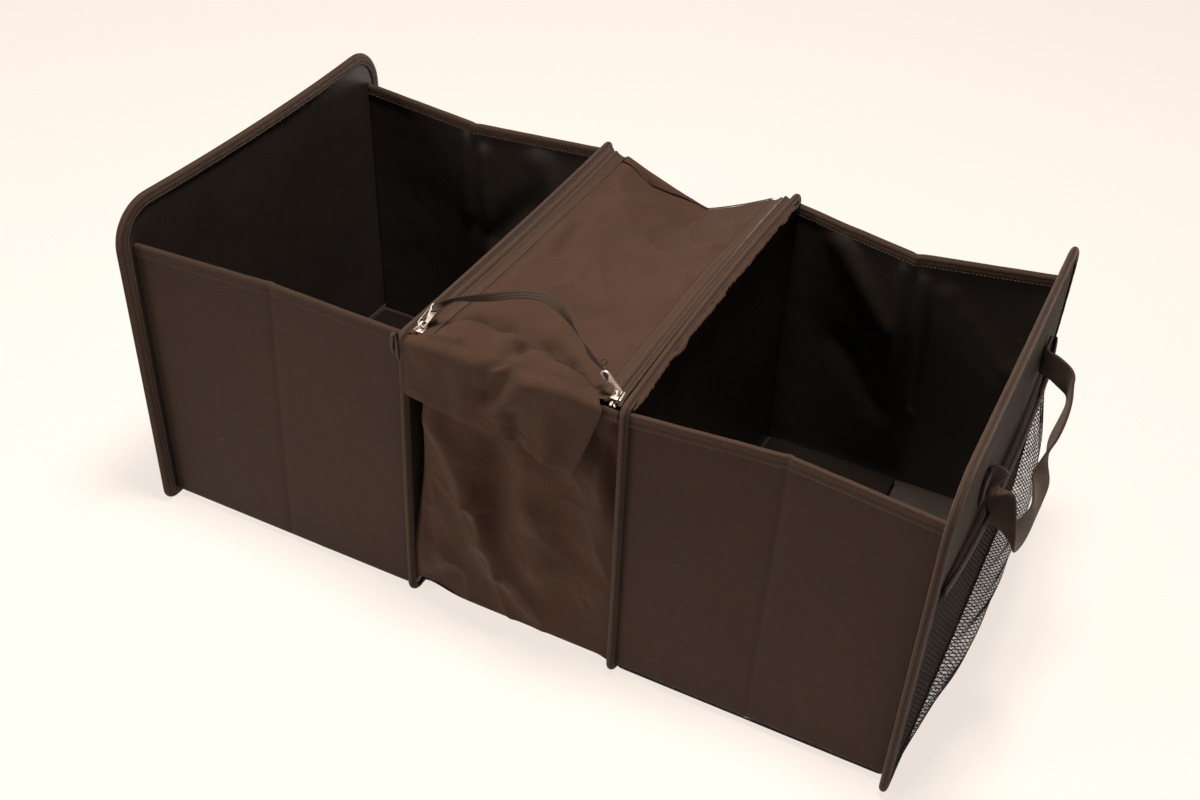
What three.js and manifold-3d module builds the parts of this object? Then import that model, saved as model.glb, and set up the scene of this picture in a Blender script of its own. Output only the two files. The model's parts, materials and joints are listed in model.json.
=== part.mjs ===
// A folding car trunk organizer: two open bins and a zipped middle compartment, between four
// stiff upright panels. X runs along it from left to right, Y from its front to its back, Z up.
// All sizes are in millimetres. The origin is on the ground, under the organizer's middle.
import * as THREE from "three";
import { mergeVertices } from "three/addons/utils/BufferGeometryUtils.js";
import Module from "manifold-3d";

const wasm = await Module();
wasm.setup();

// Driving dimensions of the body
const leftBinLength = 265; // between the middle planes of the two panels that it hangs on
const coolerLength = 200;
const rightBinLength = 245;
const wallDepth = 358; // over the outer faces of the front and back walls
const wallFoot = 8; // the walls' lower edge, above the ground
const wallTop = 278;
const wallThickness = 3.5;
const softWallThickness = 2;
const floorThickness = 2.2;

// The middle crease of each bin wall: how far its top is folded in, and how far it dips
const leftFrontCrease = { depth: 8, dip: 0 };
const leftBackCrease = { depth: 14, dip: 6 };
const rightFrontCrease = { depth: 13, dip: 0 };
const rightBackCrease = { depth: 30, dip: 5 };

// Driving dimensions of the upright panels
const panelThickness = 4;
const endPanelHeight = 318;
const endPanelReach = 16; // how far the bound edge stands past the walls
const endCornerRadius = 42;
const dividerHeight = 287;
const dividerReach = 6;
const dividerCornerRadius = 8;
const footCornerRadius = 13;
const bindingCloth = 1.2;
const bindingOffWall = 1; // between a panel's binding and the walls' outer faces
const seamGap = 0.3;

// Driving dimensions of the tape over each wall's upper edge
const topTapeHeight = 10;
const topTapeCloth = 1.2;
const topTapeGap = 0.5;

// Driving dimensions of the base boards
const baseBoardThickness = 3;
const baseBoardSideGap = 7;
const foldedBoardLength = 134;
const foldedBoardSlit = 1.4;
const boardCreaseWidth = 4;
const boardCreaseDepth = 1.2;

// Driving dimensions of the zips and the lid
const zipInset = 14; // from the divider's middle plane to the middle of the zip
const zipLevel = 283; // the middle of the tapes' thickness, above the ground
const zipTapeWidth = 11;
const zipTapeThickness = 1;
const zipSlot = 1.2; // between the two rows of teeth, where the slider's post runs
const zipBackEnd = 174;
const zipFrontEnd = -178;
const coilWidth = 2.6;
const coilHeight = 2;
const toothPitch = 4;
const toothLength = 0.9;
const toothedStretch = 28; // the front stretch whose teeth show
const stopLength = 4;
const stopWidth = 2.2;
const stopHeight = 1.6;
const lidThickness = 1;
const lidBackEdge = 179;
const lidSeat = 1.2; // from the lid's underside down to the cooler's back wall
const lidFoldRadius = 6;
const lidMiddleSag = 9;
const lidBackSag = 38;
const lidLowestPoint = 12; // X of the deepest point of the sag, from the lid's middle
const flapLeftLength = 48;
const flapRightLength = 62;
const flapSlant = 18; // how far the flap's right edge runs in towards its lower corner
const flapFlare = 7;
const flapLeftOverhang = 9.5; // past the middle of the left zip
const flapRightOverhang = -5;

// Driving dimensions of the zip sliders and their joined pulls
const sliderRestY = -168;
const sliderLength = 11;
const sliderWidth = 9;
const sliderPlate = 1.2;
const sliderPostWidth = 0.8;
const sliderPostLength = 3.6;
const sliderClearance = 0.35;
const bridgeWidth = 2;
const bridgeWall = 1;
const bridgeBore = 2.1; // wide enough for a tab's bar to turn sideways in it
const hingeBarRise = 2.5; // from the slider's top plate to the middle of the tab's bar
const tabBarWidth = 1.3;
const tabEyeHalf = 2.9;
const tabEyeEnd = 4;
const tabLength = 21.5;
const tabWidth = 8;
const tabCornerCut = 1.2;
const tabThickness = 1.3;
const tabHoleRadius = 2.9;
const leftTabRest = { rise: 38, turn: 17 }; // degrees: leaning back from level, then turned to the middle
const rightTabRest = { rise: 100, turn: -35 };
const strapWidth = 6;
const strapThickness = 0.9;
const strapGather = 0.42; // its share of its width in a tab's hole

// The strap between the tabs' holes: how far along, back and up from the left hinge each point of it lies
const strapRun = [
  [17, 20, 17.5],
  [30, 23, 21.5],
  [47, 26, 27],
  [64, 28, 34],
  [80, 29, 39],
  [93, 29, 41],
  [104, 27, 39],
  [113, 25, 35],
  [123, 21, 28],
  [134, 15, 22],
  [145, 8, 18],
];

// Driving dimensions of the mesh pockets and the handles on the two ends
const pocketWidth = 354;
const pocketFoot = 9;
const pocketHeight = 198;
const pocketGape = 27;
const netThickness = 1.2;
const netBorder = 7;
const netColumns = 10;
const netRows = 6;
const netGapShare = 0.42; // of a cell, from its middle to the gap's corner
const hemHeight = 12;
const hemThickness = 3;
const handleWidth = 25;
const handleThickness = 2.4;
const handleSpread = 166; // between the two places where it leaves the panel
const handleSewnLength = 22;
const handleLevel = 253;
const handleStandOff = 36;
const handleSag = 60;

// Places that follow from them
const bodyLength = leftBinLength + coolerLength + rightBinLength;
const leftPanelX = -bodyLength / 2;
const leftDividerX = leftPanelX + leftBinLength;
const rightDividerX = leftDividerX + coolerLength;
const rightPanelX = bodyLength / 2;
const bindingSide = panelThickness / 2 + seamGap + bindingCloth; // from a panel's middle plane
const leftZipX = leftDividerX + zipInset;
const rightZipX = rightDividerX - zipInset;
const lidMiddleX = (leftZipX + rightZipX) / 2;
const lidHalfWidth = (rightZipX - leftZipX) / 2;
const wallHeight = wallTop - wallFoot;
const baseBoardDepth = wallDepth - 2 * (wallThickness + baseBoardSideGap);
const coilTop = zipLevel - zipTapeThickness / 2 - seamGap;
const sliderTopPlateZ = zipLevel + zipTapeThickness / 2 + sliderClearance;
const hingeBarZ = sliderTopPlateZ + sliderPlate + hingeBarRise;

// Materials, with the colours of the photographed cloth under its warm light
const cloth = (colour, roughness = 0.85) =>
  new THREE.MeshStandardMaterial({ color: colour, roughness, metalness: 0 });
const panelCloth = cloth(0x3b302b);
const bindingTape = cloth(0x48392f, 0.8);
const lidCloth = cloth(0x584538);
const floorCloth = cloth(0x241d1a, 0.9);
const boardCloth = cloth(0x332a26);
const webbing = cloth(0x3f3129, 0.8);
const netting = cloth(0x2e241f, 0.9);
const zipTape = cloth(0x4c3d33, 0.75);
const zipTeeth = cloth(0x17130f, 0.4);
const nickel = new THREE.MeshStandardMaterial({ color: 0xd8b89c, roughness: 0.3, metalness: 1 });

const group = new THREE.Group();

/** Adds a named mesh at a place, with its geometry made about that place. */
function add(name, geometry, material, x = 0, y = 0, z = 0, parent = group) {
  const mesh = new THREE.Mesh(geometry, material);
  mesh.name = name;
  mesh.position.set(x, y, z);
  parent.add(mesh);
  return mesh;
}

/** Moves every vertex of a geometry to where place(point) puts it. */
function formed(geometry, place) {
  const position = geometry.getAttribute("position");
  const point = new THREE.Vector3();
  for (let i = 0; i < position.count; i++) {
    point.fromBufferAttribute(position, i);
    place(point);
    position.setXYZ(i, point.x, point.y, point.z);
  }
  return geometry;
}

/** A closed geometry as a solid for cutting and joining. */
function solid(geometry) {
  const bare = geometry.clone();
  bare.deleteAttribute("normal");
  bare.deleteAttribute("uv");
  const merged = mergeVertices(bare, 1e-4);
  return new wasm.Manifold(
    new wasm.Mesh({
      numProp: 3,
      vertProperties: merged.attributes.position.array,
      triVerts: new Uint32Array(merged.index.array),
    }),
  );
}

/** A cut or joined solid as a geometry again. */
function geometryOf(made) {
  const mesh = made.getMesh();
  return new THREE.BufferGeometry()
    .setAttribute("position", new THREE.BufferAttribute(new Float32Array(mesh.vertProperties), 3))
    .setIndex(new THREE.BufferAttribute(new Uint32Array(mesh.triVerts), 1));
}

/** A box between two heights, centred on X and Y, as a solid. */
function block(length, depth, low, high, x = 0, y = 0) {
  return solid(new THREE.BoxGeometry(length, depth, high - low).translate(x, y, (low + high) / 2));
}

/** Extrudes a shape drawn in Y and Z along X, centred. */
function alongX(shape, thickness, options = {}) {
  const turn = new THREE.Matrix4().makeBasis(
    new THREE.Vector3(0, 1, 0),
    new THREE.Vector3(0, 0, 1),
    new THREE.Vector3(1, 0, 0),
  );
  const plain = { depth: thickness, bevelEnabled: false, curveSegments: 3 };
  return new THREE.ExtrudeGeometry(shape, { ...plain, ...options })
    .translate(0, 0, -thickness / 2)
    .applyMatrix4(turn);
}

/** The outline of an upright panel in Y and Z, drawn in by an inset, which may differ at its foot. */
function panelOutline(halfDepth, height, topRadius, inset, foot = inset, lower = footCornerRadius - inset) {
  const side = halfDepth - inset;
  const top = height - inset;
  const upper = Math.max(topRadius - inset, 1);
  const shape = new THREE.Shape();
  shape.absarc(side - lower, foot + lower, lower, -Math.PI / 2, 0);
  shape.absarc(side - upper, top - upper, upper, 0, Math.PI / 2);
  shape.absarc(upper - side, top - upper, upper, Math.PI / 2, Math.PI);
  shape.absarc(lower - side, foot + lower, lower, Math.PI, 1.5 * Math.PI);
  return shape;
}

/** An upright panel of cloth-covered board, with the folded tape that binds its whole edge. */
function uprightPanel(name, x, height, reach, topRadius) {
  const halfDepth = wallDepth / 2 + reach;
  const boardInset = bindingCloth + seamGap;
  const tapeWidth = reach - bindingOffWall;
  const outline = (...insets) => panelOutline(halfDepth, height, topRadius, ...insets);
  const board = alongX(outline(boardInset), panelThickness);
  const tape = solid(alongX(outline(0), 2 * bindingSide))
    .subtract(solid(alongX(outline(tapeWidth, wallFoot - bindingOffWall, 1), 4 * bindingSide)))
    .subtract(solid(alongX(outline(bindingCloth), panelThickness + 2 * seamGap)));
  add(`${name}_panel`, board, panelCloth, x);
  add(`${name}_binding`, geometryOf(tape), bindingTape, x);
}

/** How much of a wall's middle crease is felt at a height, at a distance from its middle: 1 at its top. */
function creaseShare(x, z, length) {
  const across = 1 - Math.min(1, Math.abs(x) / (length / 2));
  return (across * (z - wallFoot)) / wallHeight;
}

/** One folding wall of a bin, with its middle crease pressed inwards and a tape over its upper edge. */
function binWall(name, middleX, binLength, side, crease) {
  const length = binLength - panelThickness - 2 * seamGap;
  const creased = (p) => {
    const share = creaseShare(p.x, p.z, length);
    p.y -= side * crease.depth * share;
    p.z -= crease.dip * share;
  };
  const wall = new THREE.BoxGeometry(length, wallThickness, wallHeight, 8, 1, 4);
  wall.translate(0, 0, wallFoot + wallHeight / 2);
  const y = side * (wallDepth - wallThickness) / 2;
  add(`${name}_wall`, formed(wall, creased), panelCloth, middleX, y);

  const tapeLength = binLength - 2 * (bindingSide + seamGap);
  const tape = formed(topTape(tapeLength, wallThickness, 8), creased);
  add(`${name}_top_tape`, tape, bindingTape, middleX, y);
}

/** The folded tape over a wall's upper edge, straight and along X. */
function topTape(length, thickness, steps) {
  const inner = thickness / 2 + topTapeGap;
  const outer = inner + topTapeCloth;
  const low = wallTop - topTapeHeight;
  const high = wallTop + topTapeGap;
  const section = new THREE.Shape([
    new THREE.Vector2(-outer, low),
    new THREE.Vector2(-inner, low),
    new THREE.Vector2(-inner, high),
    new THREE.Vector2(inner, high),
    new THREE.Vector2(inner, low),
    new THREE.Vector2(outer, low),
    new THREE.Vector2(outer, high + topTapeCloth),
    new THREE.Vector2(-outer, high + topTapeCloth),
  ]);
  return alongX(section, length, { steps });
}

/** The cloth floor of one compartment, between two panels and under the walls. */
function floor(middleX, binLength, stepsX = 1, stepsY = 1) {
  const length = binLength - 2 * (bindingSide + seamGap);
  const plate = new THREE.BoxGeometry(length, wallDepth - 2 * seamGap, floorThickness, stepsX, stepsY, 1);
  return plate.translate(middleX, 0, wallFoot - seamGap - floorThickness / 2);
}

/** A base board laid flat, creased across its middle so that it can fold. */
function flatBaseBoard(name, middleX, binLength) {
  const half = binLength / 2 - baseBoardSideGap;
  const groove = boardCreaseWidth / 2;
  const high = baseBoardThickness;
  const outline = new THREE.Shape([
    new THREE.Vector2(-half, 0),
    new THREE.Vector2(half, 0),
    new THREE.Vector2(half, high),
    new THREE.Vector2(groove, high),
    new THREE.Vector2(0, high - boardCreaseDepth),
    new THREE.Vector2(-groove, high),
    new THREE.Vector2(-half, high),
  ]);
  add(name, acrossY(outline, baseBoardDepth), boardCloth, middleX, 0, wallFoot);
}

/** A base board folded in two, its fold against the divider and its open edges in the bin. */
function foldedBaseBoard(name, dividerX) {
  const start = dividerX + baseBoardSideGap;
  const high = 2 * baseBoardThickness + foldedBoardSlit;
  const outline = new THREE.Shape();
  outline.moveTo(high / 2, 0);
  outline.lineTo(foldedBoardLength, 0);
  outline.lineTo(foldedBoardLength, baseBoardThickness);
  outline.lineTo(high / 2, baseBoardThickness);
  outline.lineTo(high / 2, baseBoardThickness + foldedBoardSlit);
  outline.lineTo(foldedBoardLength, baseBoardThickness + foldedBoardSlit);
  outline.lineTo(foldedBoardLength, high);
  outline.lineTo(high / 2, high);
  outline.absarc(high / 2, high / 2, high / 2, Math.PI / 2, 1.5 * Math.PI);
  add(name, acrossY(outline, baseBoardDepth), boardCloth, start, 0, wallFoot);
}

/** Extrudes a shape drawn in X and Z along Y, centred. */
function acrossY(shape, depth) {
  return new THREE.ExtrudeGeometry(shape, { depth, bevelEnabled: false, curveSegments: 5 })
    .rotateX(Math.PI / 2)
    .translate(0, depth / 2, 0);
}

/** A soft fold in cloth: how far it stands out at a point beside a line from one end to the other. */
function fold(x, z, line) {
  const [x0, z0, x1, z1, height, width] = line;
  const runX = x1 - x0;
  const runZ = z1 - z0;
  const share = ((x - x0) * runX + (z - z0) * runZ) / (runX * runX + runZ * runZ);
  const along = Math.min(1, Math.max(0, share));
  const away = Math.hypot(x - x0 - along * runX, z - z0 - along * runZ);
  return height * Math.exp(-((away / width) ** 2));
}

/** Fades from 1 inside a cloth to 0 at its sewn edges, over a given margin. */
function fadeToSeam(distance, margin) {
  const share = Math.min(1, Math.max(0, distance / margin));
  return share * share * (3 - 2 * share);
}

// The cooler's front wall falls in soft folds: each is a line in X and Z, then a height and a width
const frontFolds = [
  [-75, 225, -30, 60, 7, 15],
  [-30, 60, 45, 14, 5, 13],
  [-62, 150, -80, 60, -6, 16],
  [-14, 190, -8, 90, -6, 14],
  [5, 175, 30, 70, 5, 18],
  [60, 200, 72, 90, -4, 20],
  [-92, 250, -86, 40, -6, 13],
];

// How far its lower edge is drawn up, and a fold of it beside the left divider that is drawn up further
const footLift = 9;
const footFoldLift = 9;
const footFoldX = -80;
const footFoldWidth = 18;
const footLiftReach = 70; // how far back the floor rises to it
const floorLiftShare = 0.7;

/** How far the cooler's front wall and floor are drawn up at their common edge. */
function footLiftAt(x) {
  const seam = fadeToSeam(coolerLength / 2 - Math.abs(x), 10);
  return seam * (footLift + footFoldLift * Math.exp(-(((x - footFoldX) / footFoldWidth) ** 2)));
}

/** How far out the cooler's front wall stands at a point. */
function frontFoldAt(x, z) {
  const seam = fadeToSeam(coolerLength / 2 - Math.abs(x), 14) * fadeToSeam(wallTop - topTapeHeight - z, 50);
  return seam * frontFolds.reduce((sum, line) => sum + fold(x, z, line), 0);
}

/** How far the lid lies below its zips at a place. */
function lidDropAt(x, y) {
  const fromLowest = x - lidLowestPoint;
  const reach = lidHalfWidth + (fromLowest > 0 ? -lidLowestPoint : lidLowestPoint);
  const across = Math.max(0, 1 - Math.abs(fromLowest) / reach);
  const round = across * (1.6 - 0.6 * across);
  const fromFront = Math.min(1, Math.max(0, (y - zipFrontEnd) / (lidBackEdge - zipFrontEnd)));
  const front = fadeToSeam(fromFront, 0.3);
  const back = fadeToSeam(fromFront - 0.55, 0.45);
  return lidMiddleSag * front * round * (1 - back) + lidBackSag * back * (0.35 * round + 0.65 * across);
}

/** The soft walls of the cooler, and the tape over the front one. */
function coolerWalls() {
  const middleX = (leftDividerX + rightDividerX) / 2;
  const length = coolerLength - panelThickness - 2 * seamGap;
  const y = (wallDepth - softWallThickness) / 2;
  const front = new THREE.BoxGeometry(length, softWallThickness, wallHeight, 14, 1, 11);
  front.translate(0, 0, wallFoot + wallHeight / 2);
  formed(front, (p) => {
    const lift = footLiftAt(p.x);
    p.y -= frontFoldAt(p.x, p.z);
    p.z += (lift * (wallTop - p.z)) / wallHeight;
  });
  add("cooler_front_wall", front, lidCloth, middleX, -y);

  const base = formed(floor(0, coolerLength, 14, 10), (p) => {
    const back = p.y + wallDepth / 2;
    p.z += floorLiftShare * footLiftAt(p.x) * (1 - fadeToSeam(back, footLiftReach));
  });
  add("cooler_floor", base, floorCloth, middleX);

  const tape = topTape(coolerLength - 2 * (bindingSide + seamGap), softWallThickness, 1);
  add("cooler_front_top_tape", tape, bindingTape, middleX, -y);

  const back = new THREE.BoxGeometry(length, softWallThickness, wallHeight, 14, 1, 3);
  back.translate(0, 0, wallFoot + wallHeight / 2);
  const lidUnderside = zipLevel - lidThickness / 2 - lidSeat;
  formed(back, (p) => {
    const share = (p.z - wallFoot) / wallHeight;
    const drop = lidDropAt(p.x + middleX - lidMiddleX, lidBackEdge);
    const top = Math.min(lidUnderside - drop, wallTop);
    p.z = wallFoot + share * (top - wallFoot);
  });
  add("cooler_back_wall", back, lidCloth, middleX, y);
}

/** The soft lid: it lies between the zips, runs over the front wall and hangs down there as a flap. */
function coolerLid() {
  const foldY = zipFrontEnd - seamGap;
  const topRun = lidBackEdge - foldY;
  const topSteps = 14;
  const foldSteps = 5;
  const flapSteps = 5;
  const steps = topSteps + foldSteps + flapSteps;
  const narrow = lidHalfWidth - zipSlot / 2 - zipTapeWidth - seamGap;
  const sheet = new THREE.BoxGeometry(2, steps, lidThickness, 12, steps, 1);
  sheet.translate(0, -steps / 2, 0);
  formed(sheet, (p) => {
    const across = p.x;
    const row = -p.y;
    const off = p.z;
    if (row <= topSteps) {
      const y = lidBackEdge - (topRun * row) / topSteps;
      const x = across * narrow;
      p.set(x, y, off - lidDropAt(x, y));
      return;
    }
    const left = -lidHalfWidth - flapLeftOverhang;
    const right = lidHalfWidth + flapRightOverhang;
    const widen = Math.min(1, (row - topSteps) / 2);
    const wide = left + ((across + 1) / 2) * (right - left);
    const x = across * narrow + (wide - across * narrow) * widen;
    const turned = (Math.min(row - topSteps, foldSteps) / foldSteps) * (Math.PI / 2);
    const radius = lidFoldRadius + off;
    const down = Math.max(0, row - topSteps - foldSteps) / flapSteps;
    const toRight = (across + 1) / 2;
    const length = flapLeftLength + (flapRightLength - flapLeftLength) * toRight;
    const flare = flapFlare * down * down * toRight;
    p.set(
      x - flapSlant * down * toRight,
      foldY - radius * Math.sin(turned) - flare,
      radius * Math.cos(turned) - lidFoldRadius - length * down,
    );
  });
  add("cooler_lid", sheet, lidCloth, lidMiddleX, 0, zipLevel);
}

/** One row of zip teeth, facing +X: toothed at its front, and plain where the tape hides it. */
function coilRow() {
  const row = new THREE.Shape();
  const start = zipFrontEnd + stopLength + 2 * seamGap;
  const teeth = Math.round(toothedStretch / toothPitch);
  row.moveTo(-coilWidth, start);
  for (let i = 0; i < teeth; i++) {
    const y = start + i * toothPitch;
    row.lineTo(0, y);
    row.lineTo(0, y + toothPitch * 0.45);
    row.lineTo(-toothLength, y + toothPitch * 0.55);
    row.lineTo(-toothLength, y + toothPitch * 0.95);
  }
  row.lineTo(0, start + teeth * toothPitch);
  row.lineTo(0, zipBackEnd);
  row.lineTo(-coilWidth, zipBackEnd);
  return new THREE.ExtrudeGeometry(row, { depth: coilHeight, bevelEnabled: false });
}

/** A zip along one divider: two tapes, a row of teeth under each, and a metal stop in front of it. */
function zip(name, x, outwards) {
  const length = zipBackEnd - zipFrontEnd;
  const y = (zipBackEnd + zipFrontEnd) / 2;
  const outerWidth = zipInset - bindingSide - seamGap - zipSlot / 2;
  const outerX = x + outwards * (zipSlot / 2 + outerWidth / 2);
  const innerX = x - outwards * (zipSlot / 2 + zipTapeWidth / 2);
  const tape = (width) => new THREE.BoxGeometry(width, length, zipTapeThickness);
  add(`${name}_zip_divider_tape`, tape(outerWidth), zipTape, outerX, y, zipLevel);
  add(`${name}_zip_lid_tape`, tape(zipTapeWidth), zipTape, innerX, y, zipLevel);

  for (const [part, side] of [["divider", 1], ["lid", -1]]) {
    const away = side * outwards;
    const row = coilRow();
    if (away > 0) formed(row.rotateY(Math.PI), (p) => (p.z += coilHeight));
    add(`${name}_zip_${part}_teeth`, row, zipTeeth, x + (away * zipSlot) / 2, 0, coilTop - coilHeight);
    const stop = new THREE.BoxGeometry(stopWidth, stopLength, stopHeight);
    const stopX = x + away * (zipSlot / 2 + stopWidth / 2);
    const stopZ = coilTop - stopHeight / 2;
    add(`${name}_zip_${part}_stop`, stop, nickel, stopX, zipFrontEnd + stopLength / 2, stopZ);
  }
}

/** A slider: two plates joined by the post between the rows of teeth, and a bridge on top for its pull. */
function zipSlider(name, x) {
  const low = coilTop - coilHeight - sliderClearance;
  const top = sliderTopPlateZ + sliderPlate;
  const plateOutline = new THREE.Shape();
  const half = sliderLength / 2;
  const shoulder = sliderWidth / 2;
  const waist = shoulder * 0.7;
  plateOutline.moveTo(-shoulder, -half);
  plateOutline.lineTo(shoulder, -half);
  plateOutline.quadraticCurveTo(shoulder, half * 0.3, waist, half);
  plateOutline.lineTo(-waist, half);
  plateOutline.quadraticCurveTo(-shoulder, half * 0.3, -shoulder, -half);
  const plate = (z) =>
    solid(
      new THREE.ExtrudeGeometry(plateOutline, { depth: sliderPlate, bevelEnabled: false, curveSegments: 5 })
        .translate(0, 0, z),
    );
  const bore = bridgeBore;
  const arch = new THREE.Shape();
  const foot = top - 0.2;
  arch.moveTo(-bore - bridgeWall, foot);
  arch.lineTo(-bore, foot);
  arch.lineTo(-bore, hingeBarZ);
  arch.absarc(0, hingeBarZ, bore, Math.PI, 0, true);
  arch.lineTo(bore, foot);
  arch.lineTo(bore + bridgeWall, foot);
  arch.lineTo(bore + bridgeWall, hingeBarZ);
  arch.absarc(0, hingeBarZ, bore + bridgeWall, 0, Math.PI);
  const made = plate(low - sliderPlate)
    .add(plate(sliderTopPlateZ))
    .add(block(sliderPostWidth, sliderPostLength, low - sliderPlate / 2, sliderTopPlateZ + sliderPlate / 2))
    .add(solid(alongX(arch, bridgeWidth)));
  add(`${name}_zip_slider`, geometryOf(made), nickel, x, sliderRestY);
}

/** A pull tab's own directions at rest: across it, along it and off its face. */
function tabFrame(rest) {
  const turned = new THREE.Matrix4().makeRotationZ((-rest.turn * Math.PI) / 180);
  const raised = new THREE.Matrix4().makeRotationX((rest.rise * Math.PI) / 180);
  return raised.multiply(turned);
}

/** A slider's pull tab: a flat plate with an eye round the slider's bridge and a hole for the strap. */
function pullTab(name, x, rest) {
  const half = tabWidth / 2;
  const bar = tabBarWidth / 2;
  const end = tabLength - half;
  const outline = new THREE.Shape();
  outline.moveTo(-half, tabCornerCut - bar);
  outline.lineTo(tabCornerCut - half, -bar);
  outline.lineTo(half - tabCornerCut, -bar);
  outline.lineTo(half, tabCornerCut - bar);
  outline.lineTo(half, end);
  outline.absarc(0, end, half, 0, Math.PI);
  outline.holes.push(
    new THREE.Path([
      new THREE.Vector2(-tabEyeHalf, bar),
      new THREE.Vector2(-tabEyeHalf, tabEyeEnd),
      new THREE.Vector2(tabEyeHalf, tabEyeEnd),
      new THREE.Vector2(tabEyeHalf, bar),
    ]),
    new THREE.Path().absarc(0, end, tabHoleRadius, 0, 2 * Math.PI, true),
  );
  const flat = { depth: tabThickness, bevelEnabled: false, curveSegments: 5 };
  const tab = new THREE.ExtrudeGeometry(outline, flat);
  tab.translate(0, 0, -tabThickness / 2).applyMatrix4(tabFrame(rest));
  add(`${name}_pull_tab`, tab, nickel, x, sliderRestY, hingeBarZ);
}

/** A flat strap along a curve, with directions across it, drawn narrower where widthShare says so. */
function ribbon(points, across, width, thickness, steps, widthShare = () => 1) {
  const route = new THREE.CatmullRomCurve3(points, false, "centripetal");
  const side = new THREE.CatmullRomCurve3(across, false, "centripetal");
  const bar = new THREE.BoxGeometry(1, width, thickness, steps, 1, 1).translate(0.5, 0, 0);
  return formed(bar, (p) => {
    const share = Math.min(1, Math.max(0, p.x));
    const tangent = route.getTangent(share);
    const along = side.getPoint(share);
    along.addScaledVector(tangent, -along.dot(tangent)).normalize();
    const off = new THREE.Vector3().crossVectors(tangent, along);
    p.copy(route.getPoint(share).addScaledVector(along, p.y * widthShare(share)).addScaledVector(off, p.z));
  });
}

/** The strap that joins the two pull tabs: through the hole of each, and arched up and back between them. */
function pullStrap() {
  const throughHole = (rest, x, face) => {
    const frame = tabFrame(rest);
    const hinge = new THREE.Vector3(x, 0, 0);
    const hole = tabLength - tabWidth / 2;
    const at = (across, off) => new THREE.Vector3(across, hole, off).applyMatrix4(frame).add(hinge);
    const along = new THREE.Vector3(0, 1, 0).transformDirection(frame);
    const clear = tabThickness / 2 + strapThickness / 2 + 0.6;
    return { points: [at(0, -2.4 * face), at(0, 0), at(face * 0.8, face * (clear + 0.8))], along };
  };
  const left = throughHole(leftTabRest, 0, 1);
  const right = throughHole(rightTabRest, rightZipX - leftZipX, -1);
  const middle = strapRun.map((place) => new THREE.Vector3(...place));
  const slanted = new THREE.Vector3(0, -0.6, 0.8);
  const points = [...left.points, ...middle, ...right.points.reverse()];
  const across = points.map((point, i) => {
    if (i < left.points.length) return left.along;
    return i < points.length - right.points.length ? slanted : right.along;
  });
  const gathered = (share) => {
    const fromEnd = Math.min(share, 1 - share);
    return strapGather + (1 - strapGather) * fadeToSeam(fromEnd - 0.1, 0.2);
  };
  const strap = ribbon(points, across, strapWidth, strapThickness, 44, gathered);
  add("pull_strap", strap, webbing, leftZipX, sliderRestY, hingeBarZ);
}

/** How far a mesh pocket gapes from its panel, at a distance from its middle and a share of its height. */
function gapeAt(y, share) {
  const across = 1 - Math.abs((2 * y) / pocketWidth) ** 4;
  return pocketGape * across * Math.sin(0.62 * Math.PI * Math.min(1, Math.max(0, share)));
}

/** A flat net in Y and Z: a grid of cells with a diamond gap in each, inside a plain border. */
function diamondNet() {
  const spread = (step, count, size) => {
    if (step === 0 || step === count) return (step / count) * size;
    return netBorder + (step / count) * (size - 2 * netBorder);
  };
  const corners = [[0, 0], [1, 0], [1, 1], [0, 1]];
  const [less, more] = [0.5 - netGapShare, 0.5 + netGapShare];
  const gap = [[0.5, less], [more, 0.5], [0.5, more], [less, 0.5]];
  const places = [];
  const face = (...loop) => {
    for (let i = 2; i < loop.length; i++) places.push(...loop[0], ...loop[i - 1], ...loop[i]);
  };
  for (let column = 0; column < netColumns; column++)
    for (let row = 0; row < netRows; row++) {
      const at = ([u, v], x) => [
        x,
        spread(column + u, netColumns, pocketWidth) - pocketWidth / 2,
        spread(row + v, netRows, pocketHeight),
      ];
      const onBorder = [row === 0, column === netColumns - 1, row === netRows - 1, column === 0];
      for (let k = 0; k < 4; k++) {
        const [from, to] = [corners[k], corners[(k + 1) % 4]];
        const [near, next] = [gap[k], gap[(k + 1) % 4]];
        face(at(from, netThickness), at(to, netThickness), at(near, netThickness));
        face(at(to, netThickness), at(next, netThickness), at(near, netThickness));
        face(at(from, 0), at(near, 0), at(to, 0));
        face(at(to, 0), at(near, 0), at(next, 0));
        face(at(near, 0), at(near, netThickness), at(next, netThickness), at(next, 0));
        if (onBorder[k]) face(at(from, 0), at(to, 0), at(to, netThickness), at(from, netThickness));
      }
    }
  const made = new THREE.BufferGeometry();
  made.setAttribute("position", new THREE.BufferAttribute(new Float32Array(places), 3));
  return mergeVertices(made, 1e-3);
}

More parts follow.
